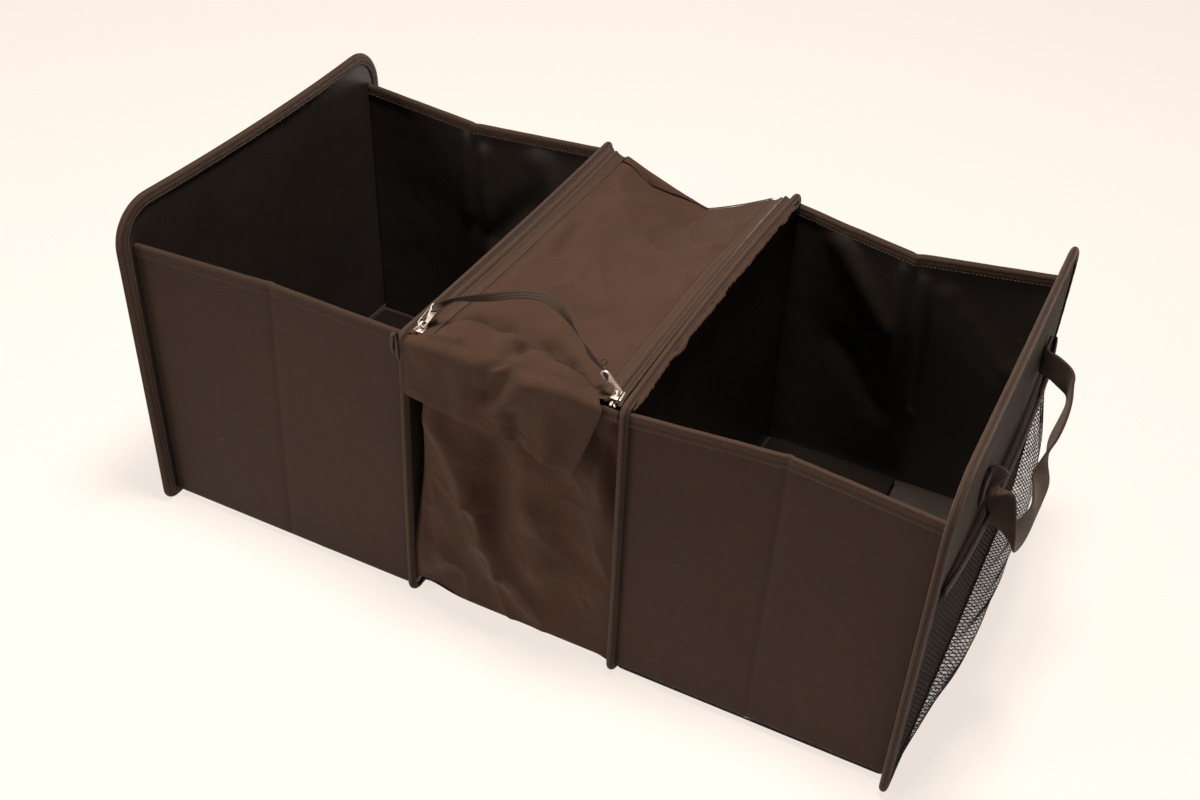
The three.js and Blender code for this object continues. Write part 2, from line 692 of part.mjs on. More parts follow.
/** A mesh pocket and the handle above it, on the outer face of an end panel that looks along +X. */
function endFittings(name, x, turn) {
  const end = new THREE.Group();
  end.position.x = x;
  end.rotation.z = turn;
  group.add(end);
  const face = panelThickness / 2 + seamGap;
  const net = formed(diamondNet(), (p) => (p.x += gapeAt(p.y, p.z / pocketHeight)));
  add(`${name}_mesh_pocket`, net, netting, face, 0, pocketFoot, end);

  const hem = new THREE.BoxGeometry(hemThickness, pocketWidth, hemHeight, 1, 18, 1);
  formed(hem, (p) => (p.x += gapeAt(p.y, 1)));
  const hemZ = pocketFoot + pocketHeight + seamGap + hemHeight / 2;
  add(`${name}_pocket_hem`, hem, bindingTape, face + hemThickness / 2, 0, hemZ, end);

  const out = face + handleThickness / 2;
  const spread = handleSpread / 2;
  const points = [
    [0.4, spread + handleSewnLength, 0],
    [0.4, spread + 3, 0],
    [0.8, spread + 0.5, 0],
    [3, spread - 1.5, 0],
    [handleStandOff * 0.3, spread - 4, -handleSag * 0.02],
    [handleStandOff * 0.8, spread * 0.88, -handleSag * 0.12],
    [handleStandOff, spread * 0.62, -handleSag * 0.24],
    [handleStandOff, spread * 0.15, -handleSag * 0.62],
    [handleStandOff, -spread * 0.3, -handleSag],
    [handleStandOff * 0.95, -spread * 0.6, -handleSag * 0.94],
    [handleStandOff * 0.92, -spread * 0.82, -handleSag * 0.52],
    [handleStandOff * 0.7, -spread * 0.94, -handleSag * 0.16],
    [handleStandOff * 0.3, -spread + 2, -handleSag * 0.03],
    [3, -spread + 1.5, 0],
    [0.8, -spread - 0.5, 0],
    [0.4, -spread - 3, 0],
    [0.4, -spread - handleSewnLength, 0],
  ].map(([away, y, z]) => new THREE.Vector3(out + away, y, z));
  const upright = points.map(() => new THREE.Vector3(0, 0, 1));
  const handle = ribbon(points, upright, handleWidth, handleThickness, 40);
  add(`${name}_handle`, handle, webbing, 0, 0, handleLevel, end);
}

uprightPanel("left_end", leftPanelX, endPanelHeight, endPanelReach, endCornerRadius);
uprightPanel("left_divider", leftDividerX, dividerHeight, dividerReach, dividerCornerRadius);
uprightPanel("right_divider", rightDividerX, dividerHeight, dividerReach, dividerCornerRadius);
uprightPanel("right_end", rightPanelX, endPanelHeight, endPanelReach, endCornerRadius);

const leftBinX = (leftPanelX + leftDividerX) / 2;
const rightBinX = (rightDividerX + rightPanelX) / 2;
binWall("left_bin_front", leftBinX, leftBinLength, -1, leftFrontCrease);
binWall("left_bin_back", leftBinX, leftBinLength, 1, leftBackCrease);
binWall("right_bin_front", rightBinX, rightBinLength, -1, rightFrontCrease);
binWall("right_bin_back", rightBinX, rightBinLength, 1, rightBackCrease);

add("left_bin_floor", floor(leftBinX, leftBinLength), floorCloth);
add("right_bin_floor", floor(rightBinX, rightBinLength), floorCloth);
flatBaseBoard("left_base_board", leftBinX, leftBinLength);
foldedBaseBoard("right_base_board", rightDividerX);

coolerWalls();
coolerLid();

zip("left", leftZipX, -1);
zip("right", rightZipX, 1);
zipSlider("left", leftZipX);
zipSlider("right", rightZipX);
pullTab("left", leftZipX, leftTabRest);
pullTab("right", rightZipX, rightTabRest);
pullStrap();

endFittings("left", leftPanelX, Math.PI);
endFittings("right", rightPanelX, 0);

export default group;
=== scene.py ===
"""The looks of a folding car trunk organizer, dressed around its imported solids.

Sizes are in millimetres until a mesh is placed. X runs from the left bin to the right one,
Y from the front to the back and Z up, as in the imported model.
"""

from __future__ import annotations

import json
import logging
import math
from dataclasses import dataclass
from enum import Enum
from typing import Callable, Iterable, Sequence

import bmesh
import bpy
from mathutils import Matrix, Vector, noise

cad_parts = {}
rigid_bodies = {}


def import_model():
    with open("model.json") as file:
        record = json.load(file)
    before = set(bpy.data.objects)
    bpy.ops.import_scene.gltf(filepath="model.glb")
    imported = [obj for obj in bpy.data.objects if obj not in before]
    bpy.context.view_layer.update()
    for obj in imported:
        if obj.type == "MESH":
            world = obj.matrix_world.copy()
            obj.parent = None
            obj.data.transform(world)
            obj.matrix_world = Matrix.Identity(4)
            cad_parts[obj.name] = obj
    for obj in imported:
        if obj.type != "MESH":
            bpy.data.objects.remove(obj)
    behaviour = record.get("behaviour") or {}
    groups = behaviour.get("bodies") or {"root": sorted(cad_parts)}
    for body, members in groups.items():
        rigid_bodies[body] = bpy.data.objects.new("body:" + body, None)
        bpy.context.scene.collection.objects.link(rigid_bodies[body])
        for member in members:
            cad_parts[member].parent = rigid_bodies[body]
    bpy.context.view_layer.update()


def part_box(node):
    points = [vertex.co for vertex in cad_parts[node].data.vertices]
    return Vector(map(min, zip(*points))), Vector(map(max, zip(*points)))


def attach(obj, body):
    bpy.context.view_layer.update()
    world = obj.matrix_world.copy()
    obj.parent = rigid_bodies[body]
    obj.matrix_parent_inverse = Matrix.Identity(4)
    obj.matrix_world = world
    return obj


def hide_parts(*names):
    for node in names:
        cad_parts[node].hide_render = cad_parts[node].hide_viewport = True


LOG = logging.getLogger("trunk_organizer")
MM = 0.001
TO_METRES = Matrix.Scale(MM, 4)
BODY = "organizer"
JOINED_PULLS = "joined_pulls"

# Lengths in millimetres that several pieces share
DIVIDER_HEIGHT = 287
END_HEIGHT = 318
HALF_DEPTH = 190
HALF_ZIP = 176
HALF_POCKET = 177
POCKET_FOOT = 9
POCKET_HEIGHT = 198
HANDLE_LEVEL = 253
PANEL_TO_WALL = 1.7
PANEL_TO_FACE = 2.3
TAPE_STEP = 3.0
WALL_BELOW_SOLID = 2.2

# How near two points count as one, the angle of a sharp edge, and a narrow face's area in square metres
TOUCHING = 1e-6
SHARP = math.radians(32)
NARROW = 4e-6

BMesh = bmesh.types.BMesh
Material = bpy.types.Material
Node = bpy.types.Node
NodeTree = bpy.types.NodeTree
Object = bpy.types.Object
Socket = bpy.types.NodeSocket
Colour = tuple[float, float, float]
Place = Callable[[float, float], Vector]
Bow = Callable[[float, float], float]


class Finish(Enum):
    """The finishes of the organizer's materials."""

    OUTER_CLOTH = "outer cloth"
    LINING = "coated lining"
    SOFT_CLOTH = "soft cloth"
    BINDING = "ribbed binding"
    BOARD = "board cloth"
    WEBBING = "webbing"
    NET = "net"
    ZIP_TAPE = "zip tape"
    TEETH = "zip teeth"
    NICKEL = "bright nickel"
    THREAD = "sewing thread"


# Shared sums


def clamp(value: float, low: float = 0.0, high: float = 1.0) -> float:
    """A value kept between two limits."""
    return min(high, max(low, value))


def smooth(share: float) -> float:
    """Eases a share from 0 to 1."""
    share = clamp(share)
    return share * share * (3 - 2 * share)


def arch(offset: float, half: float) -> float:
    """1 in the middle of a span, falling to 0 at half its length."""
    return max(0.0, 1 - (offset / half) ** 2)


def mix(low: float, high: float, share: float) -> float:
    """The value at a share of the way from low to high."""
    return low + (high - low) * share


def bell(distance: float, width: float) -> float:
    """1 at no distance, falling to nothing over a few widths."""
    return math.exp(-((distance / width) ** 2))


def ripple(*place: float) -> float:
    """Smooth noise at a place, about -1 to 1."""
    return noise.noise(Vector((place + (0.0, 0.0))[:3]))


def sharp_ripple(*place: float) -> float:
    """Noise with sharp crests, 0 to 1."""
    return (1 - min(1.0, 2.2 * abs(ripple(*place)))) ** 2


def smooth_path(points: Sequence[Vector], share: float) -> Vector:
    """A point on the smooth curve through some points.

    Args:
        points: The points that the curve passes through.
        share: How far along the curve, from 0 to 1.

    Returns:
        The point at that share.
    """
    run = share * (len(points) - 1)
    at = min(len(points) - 2, max(0, int(run)))
    t = run - at
    before = points[max(0, at - 1)]
    start, end = points[at], points[at + 1]
    after = points[min(len(points) - 1, at + 2)]
    a = 2 * start
    b = end - before
    c = 2 * before - 5 * start + 4 * end - after
    d = 3 * start - before - 3 * end + after
    return 0.5 * (a + b * t + c * t * t + d * t * t * t)


@dataclass(frozen=True)
class Crease:
    """A soft fold: a ridge, or a valley where its height is below 0, along a line on the cloth."""

    start: tuple[float, float]
    end: tuple[float, float]
    height: float
    width: float
    keenness: float = 2.0

    def at(self, a: float, b: float) -> float:
        """How far the cloth stands out at a point of it."""
        run_a, run_b = self.end[0] - self.start[0], self.end[1] - self.start[1]
        off_a, off_b = a - self.start[0], b - self.start[1]
        share = clamp((off_a * run_a + off_b * run_b) / (run_a**2 + run_b**2))
        away = math.hypot(off_a - share * run_a, off_b - share * run_b)
        return self.height * math.exp(-((away / self.width) ** self.keenness))


def creased(creases: Iterable[Crease], a: float, b: float) -> float:
    """How far some folds together lift a point of the cloth."""
    return sum(crease.at(a, b) for crease in creases)


@dataclass(frozen=True)
class Extent:
    """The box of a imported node, in millimetres."""

    low: Vector
    high: Vector

    @staticmethod
    def of(node: str) -> "Extent":
        """The box of the node with that name."""
        low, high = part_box(node)
        return Extent(low / MM, high / MM)

    @property
    def middle(self) -> Vector:
        """The middle of the box."""
        return (self.low + self.high) / 2

    @property
    def size(self) -> Vector:
        """The box's size along each axis."""
        return self.high - self.low


# Node work for the materials


class Tree:
    """A node tree with short ways to add and join nodes."""

    def __init__(self, tree: NodeTree) -> None:
        """Wraps a tree."""
        self.tree = tree

    def node(self, kind: str, **settings: object) -> Node:
        """Adds a node of a kind and gives it its settings.

        Args:
            kind: The node's type, without its ShaderNode prefix.
            **settings: The node's own properties.

        Returns:
            The new node.
        """
        made = self.tree.nodes.new("ShaderNode" + kind)
        for name, value in settings.items():
            setattr(made, name, value)
        return made

    def feed(self, socket: Socket, value: object) -> None:
        """Links a socket to a node's output, or sets it to a plain value."""
        if isinstance(value, Socket):
            self.tree.links.new(value, socket)
        elif isinstance(value, Node):
            self.tree.links.new(value.outputs[0], socket)
        else:
            socket.default_value = value

    def sum(self, operation: str, *values: object, clamp: bool = False) -> Socket:
        """A Math node's result.

        Args:
            operation: The Math node's operation.
            *values: Its operands, each a number or a socket.
            clamp: Whether the result is kept from 0 to 1.

        Returns:
            The result's socket.
        """
        made = self.node("Math", operation=operation, use_clamp=clamp)
        for socket, value in zip(made.inputs, values):
            self.feed(socket, value)
        return made.outputs[0]

    def blend(self, share: object, low: object, high: object) -> Socket:
        """A colour between two, by a share."""
        made = self.node("Mix", data_type="RGBA")
        for index, value in ((0, share), (6, low), (7, high)):
            self.feed(made.inputs[index], value)
        return made.outputs[2]

    def band(
        self, value: object, low: float, high: float, to_low: float = 0.0, to_high: float = 1.0
    ) -> Socket:
        """A value carried smoothly from one range to another."""
        made = self.node("MapRange", interpolation_type="SMOOTHSTEP")
        for index, number in enumerate((value, low, high, to_low, to_high)):
            self.feed(made.inputs[index], number)
        return made.outputs[0]

    def give(self, made: Node, **values: object) -> Node:
        """Gives named inputs of a node a value or a link each, _ standing for a space."""
        for name, value in values.items():
            self.feed(made.inputs[name.replace("_", " ")], value)
        return made

    def stretched(self, place: object, stretch: Colour) -> Socket:
        """Coordinates with a factor for each axis."""
        return self.give(self.node("Mapping"), Vector=place, Scale=stretch).outputs[0]

    def noise(
        self, place: object, scale: float, detail: float = 2.0, stretch: Colour = (1, 1, 1)
    ) -> Socket:
        """Noise at a place, about 0 to 1.

        Args:
            place: The coordinates' socket.
            scale: How fine the noise is.
            detail: How many finer layers it has.
            stretch: A factor for each axis of the coordinates.

        Returns:
            The noise's socket.
        """
        if stretch != (1, 1, 1):
            place = self.stretched(place, stretch)
        return self.give(self.node("TexNoise"), Vector=place, Scale=scale, Detail=detail).outputs[0]

    def bump(self, height: object, strength: float, distance: float, under: object = None) -> Node:
        """A Bump node, over another one if that is given."""
        made = self.give(self.node("Bump"), Strength=strength, Distance=distance, Height=height)
        return self.give(made, Normal=under) if under else made

    def scaled(self, colour: object, gain: object) -> Socket:
        """A colour times a gain."""
        made = self.node("VectorMath", operation="SCALE")
        self.feed(made.inputs[0], colour)
        self.feed(made.inputs["Scale"], gain)
        return made.outputs[0]

    def between(self, share: object, first: object, second: object) -> Node:
        """A shader between two, by a share."""
        made = self.node("MixShader")
        for socket, value in zip(made.inputs, (share, first, second)):
            self.feed(socket, value)
        return made

    def group(self, tree: NodeTree, **values: object) -> Node:
        """Adds a group and gives its inputs their values or links."""
        return self.give(self.node("Group", node_tree=tree), **values)


def new_group(name: str, inputs: dict[str, str], outputs: dict[str, str]) -> tuple[Tree, Node, Node]:
    """A shader node group with named inputs and outputs.

    Args:
        name: The group's name.
        inputs: Each input's name and kind of socket.
        outputs: Each output's name and kind of socket.

    Returns:
        The group's tree wrapped, its input node and its output node.
    """
    made = bpy.data.node_groups.new(name, "ShaderNodeTree")
    for sockets, side in ((inputs, "INPUT"), (outputs, "OUTPUT")):
        for label, kind in sockets.items():
            made.interface.new_socket(label, in_out=side, socket_type="NodeSocket" + kind)
    return Tree(made), made.nodes.new("NodeGroupInput"), made.nodes.new("NodeGroupOutput")


def new_material(name: str) -> tuple[Material, Tree, Node]:
    """A new material, its tree and its Principled shader."""
    material = bpy.data.materials.new(name)
    material.use_nodes = True
    return material, Tree(material.node_tree), material.node_tree.nodes["Principled BSDF"]


class Workshop:
    """Builds the shared node groups and each finish's material once."""

    def __init__(self) -> None:
        """Makes the groups."""
        self.weave = self.make_weave()
        self.variation = self.make_variation()
        self.lint = self.make_lint()
        self.made: dict[Finish, Material] = {}

    def make_weave(self) -> NodeTree:
        """The height of a plain weave of uneven threads on the cloth's own UV."""
        sockets = {"Threads": "Float", "Aspect": "Float"}
        tree, taken, given = new_group("plain weave", sockets, {"Height": "Float"})
        uv = tree.node("UVMap", uv_map="UVMap")
        parts = tree.node("SeparateXYZ")
        tree.feed(parts.inputs[0], uv)
        across = tree.sum("MULTIPLY", parts.outputs[0], taken.outputs["Threads"])
        along_threads = tree.sum("MULTIPLY", taken.outputs["Threads"], taken.outputs["Aspect"])
        along = tree.sum("MULTIPLY", parts.outputs[1], along_threads)
        wave_a = tree.sum("SINE", tree.sum("MULTIPLY", across, math.pi))
        wave_b = tree.sum("SINE", tree.sum("MULTIPLY", along, math.pi))
        both = tree.sum("ABSOLUTE", tree.sum("MULTIPLY", wave_a, wave_b))
        bump = tree.sum("POWER", both, 0.6)
        slub_a = tree.noise(uv.outputs[0], 900, 1, (1, 0.03, 1))
        slub_b = tree.noise(uv.outputs[0], 900, 1, (0.03, 1, 1))
        slub = tree.sum("MULTIPLY", tree.sum("ADD", slub_a, slub_b), 0.5)
        tree.give(given, Height=tree.sum("MULTIPLY", bump, tree.sum("ADD", slub, 0.5)))
        return tree.tree

    def make_variation(self) -> NodeTree:
        """Broad clouds of lighter and darker cloth, with rubbed patches."""
        tree, taken, given = new_group(
            "cloth variation",
            {"Colour": "Color", "Amount": "Float"},
            {"Colour": "Color", "Cloud": "Float"},
        )
        place = tree.node("TexCoord").outputs["Object"]
        broad = tree.noise(place, 9, 3)
        fine = tree.noise(place, 55, 4)
        cloud = tree.sum("ADD", tree.sum("MULTIPLY", broad, 0.6), tree.sum("MULTIPLY", fine, 0.4))
        spread = tree.sum("SUBTRACT", cloud, 0.5)
        gain = tree.sum("ADD", tree.sum("MULTIPLY", spread, taken.outputs["Amount"]), 1.0)
        tree.give(given, Colour=tree.scaled(taken.outputs["Colour"], gain), Cloud=cloud)
        return tree.tree

    def make_lint(self) -> NodeTree:
        """Sparse pale specks and short fibres caught on the cloth."""
        tree, taken, given = new_group("lint", {"Amount": "Float"}, {"Mask": "Float"})
        place = tree.node("TexCoord").outputs["Object"]
        bend = tree.noise(place, 260, 1)
        shifted = tree.node("VectorMath", operation="ADD")
        tree.feed(shifted.inputs[0], place)
        offset = tree.node("CombineXYZ")
        for index in range(3):
            tree.feed(offset.inputs[index], tree.sum("MULTIPLY", bend, 0.004))
        tree.feed(shifted.inputs[1], offset)
        masks = []
        for scale, radius, chance, stretch in ((95, 0.05, 0.93, (1, 1, 1)), (42, 0.045, 0.9, (1, 0.35, 0.6))):
            spots = tree.stretched(shifted, stretch)
            cells = tree.give(tree.node("TexVoronoi"), Vector=spots, Scale=scale)
            near = tree.band(cells.outputs["Distance"], radius, radius * 0.4)
            parts = tree.node("SeparateColor")
            tree.feed(parts.inputs[0], cells.outputs["Color"])
            chosen = tree.sum("GREATER_THAN", parts.outputs[0], chance)
            masks.append(tree.sum("MULTIPLY", near, chosen))
        both = tree.sum("MAXIMUM", *masks)
        tree.give(given, Mask=tree.sum("MULTIPLY", both, taken.outputs["Amount"]))
        return tree.tree

    def cloth(self, look: "ClothLook") -> Material:
        """A woven or coated cloth.

        Args:
            look: The cloth's colours, threads and gloss.

        Returns:
            The cloth's material.
        """
        material, tree, shader = new_material(look.name)
        varied = tree.group(self.variation, Colour=(*look.colour, 1), Amount=look.clouds)
        weave = tree.group(self.weave, Threads=look.threads, Aspect=look.aspect)
        lint = tree.group(self.lint, Amount=look.lint)
        # Painted shade: the colour darkens by gap_shade in the low gaps between the weave's threads.
        gap = tree.band(weave.outputs["Height"], 0.15, 0.75, look.gap_shade, 1.0)
        shaded = tree.scaled(varied.outputs["Colour"], gap)
        pale = tuple(min(1.0, part * 5 + 0.12) for part in look.colour)
        smoothest, roughest = look.roughness - 0.06, look.roughness + 0.06
        rumple = tree.noise(tree.node("TexCoord").outputs["Object"], look.rumple_scale, 3)
        woven = tree.bump(weave.outputs["Height"], look.weave_bump, 0.0003)
        tree.give(
            shader,
            Base_Color=tree.blend(lint.outputs["Mask"], shaded, (*pale, 1)),
            Roughness=tree.band(varied.outputs["Cloud"], 0.25, 0.75, smoothest, roughest),
            Specular_IOR_Level=look.gloss,
            Sheen_Weight=look.sheen,
            Sheen_Roughness=0.45,
            Sheen_Tint=(1.0, 0.86, 0.74, 1),
            Normal=tree.bump(rumple, look.rumple, 0.002, woven),
        )
        return material

    def metal(self, name: str, colour: Colour) -> Material:
        """Bright plated metal, a little tarnished and finely scratched."""
        material, tree, shader = new_material(name)
        place = tree.node("TexCoord").outputs["Object"]
        tarnish = tree.band(tree.noise(place, 420, 4), 0.42, 0.7)
        scratch = tree.noise(place, 2600, 2, (1, 0.12, 0.5))
        dark = tuple(part * 0.62 for part in colour)
        tree.give(
            shader,
            Base_Color=tree.blend(tarnish, (*colour, 1), (*dark, 1)),
            Metallic=1.0,
            Roughness=tree.band(scratch, 0.3, 0.8, 0.34, 0.5),
            Normal=tree.bump(scratch, 0.12, 0.0002),
        )
        return material

    def of(self, finish: Finish) -> Material:
        """The material of a finish, made at its first use."""
        if finish not in self.made:
            if finish is Finish.NICKEL:
                self.made[finish] = self.metal("bright_nickel", (1.0, 0.88, 0.77))
            else:
                self.made[finish] = self.cloth(CLOTHS[finish])
        return self.made[finish]


@dataclass(frozen=True)
class ClothLook:
    """How a cloth looks: its colour, its threads to the metre, its gloss and its roughness."""

    name: str
    colour: Colour
    threads: float = 1500.0
    aspect: float = 0.8
    roughness: float = 0.75
    gloss: float = 0.3
    sheen: float = 0.25
    clouds: float = 0.5
    lint: float = 0.35
    gap_shade: float = 0.62
    weave_bump: float = 0.55
    rumple: float = 0.12
    rumple_scale: float = 110.0


CLOTHS = {
    Finish.OUTER_CLOTH: ClothLook(
        "outer_cloth", (0.037, 0.0205, 0.0138), gloss=0.13, sheen=0.06, clouds=0.7, rumple=0.22
    ),
    Finish.SOFT_CLOTH: ClothLook(
        "soft_cloth",
        (0.048, 0.0238, 0.0148),
        rumple=0.6,
        rumple_scale=75,
        clouds=0.8,
        gloss=0.12,
        sheen=0.06,
    ),
    Finish.LINING: ClothLook(
        "coated_lining",
        (0.02, 0.0155, 0.0125),
        threads=1500,
        roughness=0.4,
        gloss=0.4,
        sheen=0.0,
        lint=0.25,
        gap_shade=0.85,
        weave_bump=0.12,
        rumple=0.22,
        rumple_scale=40,
    ),
    Finish.BINDING: ClothLook(
        "binding_tape",
        (0.042, 0.0232, 0.0155),
        threads=620,
        aspect=0.35,
        gloss=0.14,
        sheen=0.1,
        gap_shade=0.4,
        weave_bump=1.0,
        rumple=0.2,
    ),
    Finish.BOARD: ClothLook(
        "board_cloth", (0.0085, 0.0062, 0.005), roughness=0.75, gloss=0.03, sheen=0.0, rumple=0.25
    ),
    Finish.WEBBING: ClothLook(
        "webbing",
        (0.044, 0.0255, 0.0175),
        threads=700,
        aspect=0.6,
        gloss=0.2,
        sheen=0.12,
        gap_shade=0.45,
        weave_bump=1.0,
    ),
    Finish.NET: ClothLook(
        "net_thread", (0.02, 0.0115, 0.0085), threads=2500, gloss=0.05, sheen=0.0, lint=0.0
    ),
    Finish.ZIP_TAPE: ClothLook(
        "zip_tape",
        (0.047, 0.0245, 0.0155),
        threads=1300,
        aspect=0.5,
        weave_bump=0.8,
        gloss=0.15,
        sheen=0.06,
    ),
    # The teeth are black nylon; their grey colour is a painted highlight for the light they catch.
    Finish.TEETH: ClothLook("nylon_teeth", (0.11, 0.09, 0.078), roughness=0.3, gloss=0.6, lint=0.0),
    Finish.THREAD: ClothLook(
        "sewing_thread", (0.05, 0.029, 0.02), threads=4000, roughness=0.6, lint=0.0
    ),
}


# Mesh work


def cloth_grid(steps: tuple[int, int], size: tuple[float, float], place: Place) -> BMesh:
    """A sheet of cloth shaped from a flat grid, with a UV map in metres.

    Args:
        steps: How many cells it has each way.
        size: The flat cloth's width and length in millimetres.
        place: Gives the place in millimetres of the point at two shares of the cloth.

    Returns:
        The sheet as a bmesh.
    """
    bm = bmesh.new()
    layer = bm.loops.layers.uv.new("UVMap")
    bmesh.ops.create_grid(bm, x_segments=steps[0], y_segments=steps[1], size=0.5, calc_uvs=True)
    for face in bm.faces:
        face.smooth = True
        for loop in face.loops:
            share = loop.vert.co
            loop[layer].uv = ((share.x + 0.5) * size[0] * MM, (share.y + 0.5) * size[1] * MM)
    for vert in bm.verts:
        vert.co = place(vert.co.x + 0.5, vert.co.y + 0.5) * MM
    return bm


def to_object(name: str, bm: BMesh, materials: Sequence[Material]) -> Object:
    """Makes an object at the origin from a bmesh.

    Args:
        name: The piece's name.
        bm: Its shape, in metres.
        materials: Its materials, the main one first.

    Returns:
        The new object.
    """
    mesh = bpy.data.meshes.new(name)
    bm.to_mesh(mesh)
    bm.free()
    made = bpy.data.objects.new(name, mesh)
    bpy.context.scene.collection.objects.link(made)
    for material in materials:
        mesh.materials.append(material)
    return made


def close_tube(bm: BMesh) -> BMesh:
    """Joins the long edges of a rolled sheet, caps its ends and turns its faces outwards."""
    bmesh.ops.remove_doubles(bm, verts=bm.verts[:], dist=TOUCHING)
    bmesh.ops.holes_fill(bm, edges=bm.edges[:], sides=0)
    bmesh.ops.recalc_face_normals(bm, faces=bm.faces[:])
    return bm


def add_part(bm: BMesh, part: BMesh) -> None:
    """Adds one bmesh to another with its faces smooth, and frees it."""
    for face in part.faces:
        face.smooth = True
    mesh = bpy.data.meshes.new("part")
    part.to_mesh(mesh)
    part.free()
    bm.from_mesh(mesh)
    bpy.data.meshes.remove(mesh)


def add_bead(bm: BMesh, segments: tuple[int, int], place: Matrix) -> None:
    """Adds a small ball to a bmesh in metres.

    Args:
        bm: The bmesh.
        segments: The ball's segments round its axis and along it.
        place: What turns a ball of radius 1 into the bead, in metres.
    """
    ball = bmesh.new()
    bmesh.ops.create_uvsphere(ball, u_segments=segments[0], v_segments=segments[1], radius=1)
    bmesh.ops.transform(ball, matrix=place, verts=ball.verts[:])
    add_part(bm, ball)


@dataclass
class Piece:
    """What a finished piece stands for and moves with."""

    name: str
    slot: str
    stands_for: tuple[str, ...] = ()
    body: str = BODY

    def settle(self, made: Object) -> Object:
        """Rides the piece on its body and hides what it stands for."""
        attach(made, self.body)
        if self.stands_for:
            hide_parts(*self.stands_for)
        faces = len(made.data.polygons)
        LOG.info("%s rides on %s with %d faces", made.name, self.body, faces)
        return made


class Maker:
    """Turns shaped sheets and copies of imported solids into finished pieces."""

    def __init__(self, workshop: Workshop) -> None:
        """Keeps the workshop that gives the materials."""
        self.workshop = workshop

    def sheet(
        self,
        piece: Piece,
        bm: BMesh,
        thickness: float,
        outer: Finish,
        inner: Finish | None = None,
        offset: float = -1.0,
        thin: Callable[[Vector], float] | None = None,
    ) -> Object:
        """Gives a sheet its thickness and makes it a piece.

        Args:
            piece: What the piece is.
            bm: The sheet, whose faces look outwards.
            thickness: The cloth's thickness in millimetres.
            outer: The finish of its outer face.
            inner: The finish of its inner face, if that differs.
            offset: Where the thickness goes: -1 inwards, 0 both ways and 1 outwards.
            thin: The share of the thickness at a place in millimetres, if that varies.

        Returns:
            The finished piece.
        """
        finishes = [outer] + ([inner] if inner else [])
        made = to_object(piece.name, bm, [self.workshop.of(finish) for finish in finishes])
        solidify = made.modifiers.new("thickness", "SOLIDIFY")
        if thin:
            group = made.vertex_groups.new(name="thickness")
            for vert in made.data.vertices:
                group.add([vert.index], thin(vert.co / MM), "REPLACE")
            solidify.vertex_group = group.name
        solidify.thickness = thickness * MM
        solidify.offset = offset
        solidify.material_offset = 1 if inner else 0
        smoothing = made.modifiers.new("smoothing", "SUBSURF")
        smoothing.levels = smoothing.render_levels = 1
        return piece.settle(made)

    def plain(self, piece: Piece, bm: BMesh, finish: Finish) -> Object:
        """Makes a piece of a shape that has its thickness already."""
        return piece.settle(to_object(piece.name, bm, [self.workshop.of(finish)]))

    def from_solid(self, piece: Piece, node: str, bevel: float, finish: Finish) -> Object:
        """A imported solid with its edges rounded.

        Args:
            piece: What the piece is.
            node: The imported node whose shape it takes.
            bevel: The rounding's width in millimetres.
            finish: Its finish.

        Returns:
            The finished piece.
        """
        bm = bmesh.new()
        bm.from_mesh(bpy.data.objects[node].data)
        for layer in list(bm.loops.layers.uv.values()):
            bm.loops.layers.uv.remove(layer)
        bmesh.ops.remove_doubles(bm, verts=bm.verts[:], dist=TOUCHING)
        flat = math.radians(3)
        bmesh.ops.dissolve_limit(bm, angle_limit=flat, verts=bm.verts[:], edges=bm.edges[:])
        hard = [
            edge
            for edge in bm.edges
            if len(edge.link_faces) == 2 and edge.calc_face_angle(0) > SHARP
        ]
        bmesh.ops.bevel(
            bm,
            geom=hard,
            offset=bevel * MM,
            offset_type="OFFSET",
            segments=2,
            profile=0.5,
            affect="EDGES",
            material=-1,
            clamp_overlap=True,
        )
        for face in bm.faces:
            face.smooth = face.calc_area() < NARROW
            face.material_index = 0
        return self.plain(piece, bm, finish)


@dataclass
class StitchLine:
    """A row of lockstitches: small beads of thread along a path on the cloth, in millimetres."""

    path: Callable[[float], Vector]
    length: float
    pitch: float = 3.4
    stitch: float = 2.5
    radius: float = 0.32

    def sew(self, bm: BMesh) -> None:
        """Adds the row to a bmesh in metres."""
        count = max(1, int(self.length / self.pitch))
        row = bmesh.new()
        for index in range(count):
            start = self.path(index / count)
            end = self.path((index + self.stitch / self.pitch) / count)
            along = end - start
            if along.length < TOUCHING:
                continue
            turn = along.to_track_quat("X", "Z").to_matrix().to_4x4()
            size = Matrix.Diagonal((along.length / 2, self.radius, self.radius, 1))
            quarter = Matrix.Rotation(math.pi / 2, 4, "Y")
            middle = Matrix.Translation((start + end) / 2)
            add_bead(row, (6, 4), TO_METRES @ middle @ turn @ size @ quarter)
        add_part(bm, row)


class Sewing:
    """Gathers the rows of stitches of each group of pieces into one piece."""

    def __init__(self, maker: Maker) -> None:
        """Starts with no rows."""
        self.maker = maker
        self.rows: dict[str, list[StitchLine]] = {}

    def add(self, group: str, *rows: StitchLine) -> None:
        """Adds rows to a group."""
        self.rows.setdefault(group, []).extend(rows)

    def finish(self) -> None:
        """Makes a piece of each group."""
        for group, rows in self.rows.items():
            bm = bmesh.new()
            for row in rows:
                row.sew(bm)
            self.maker.plain(Piece(f"{group}_stitches", "binding_tape"), bm, Finish.THREAD)


# The four upright panels


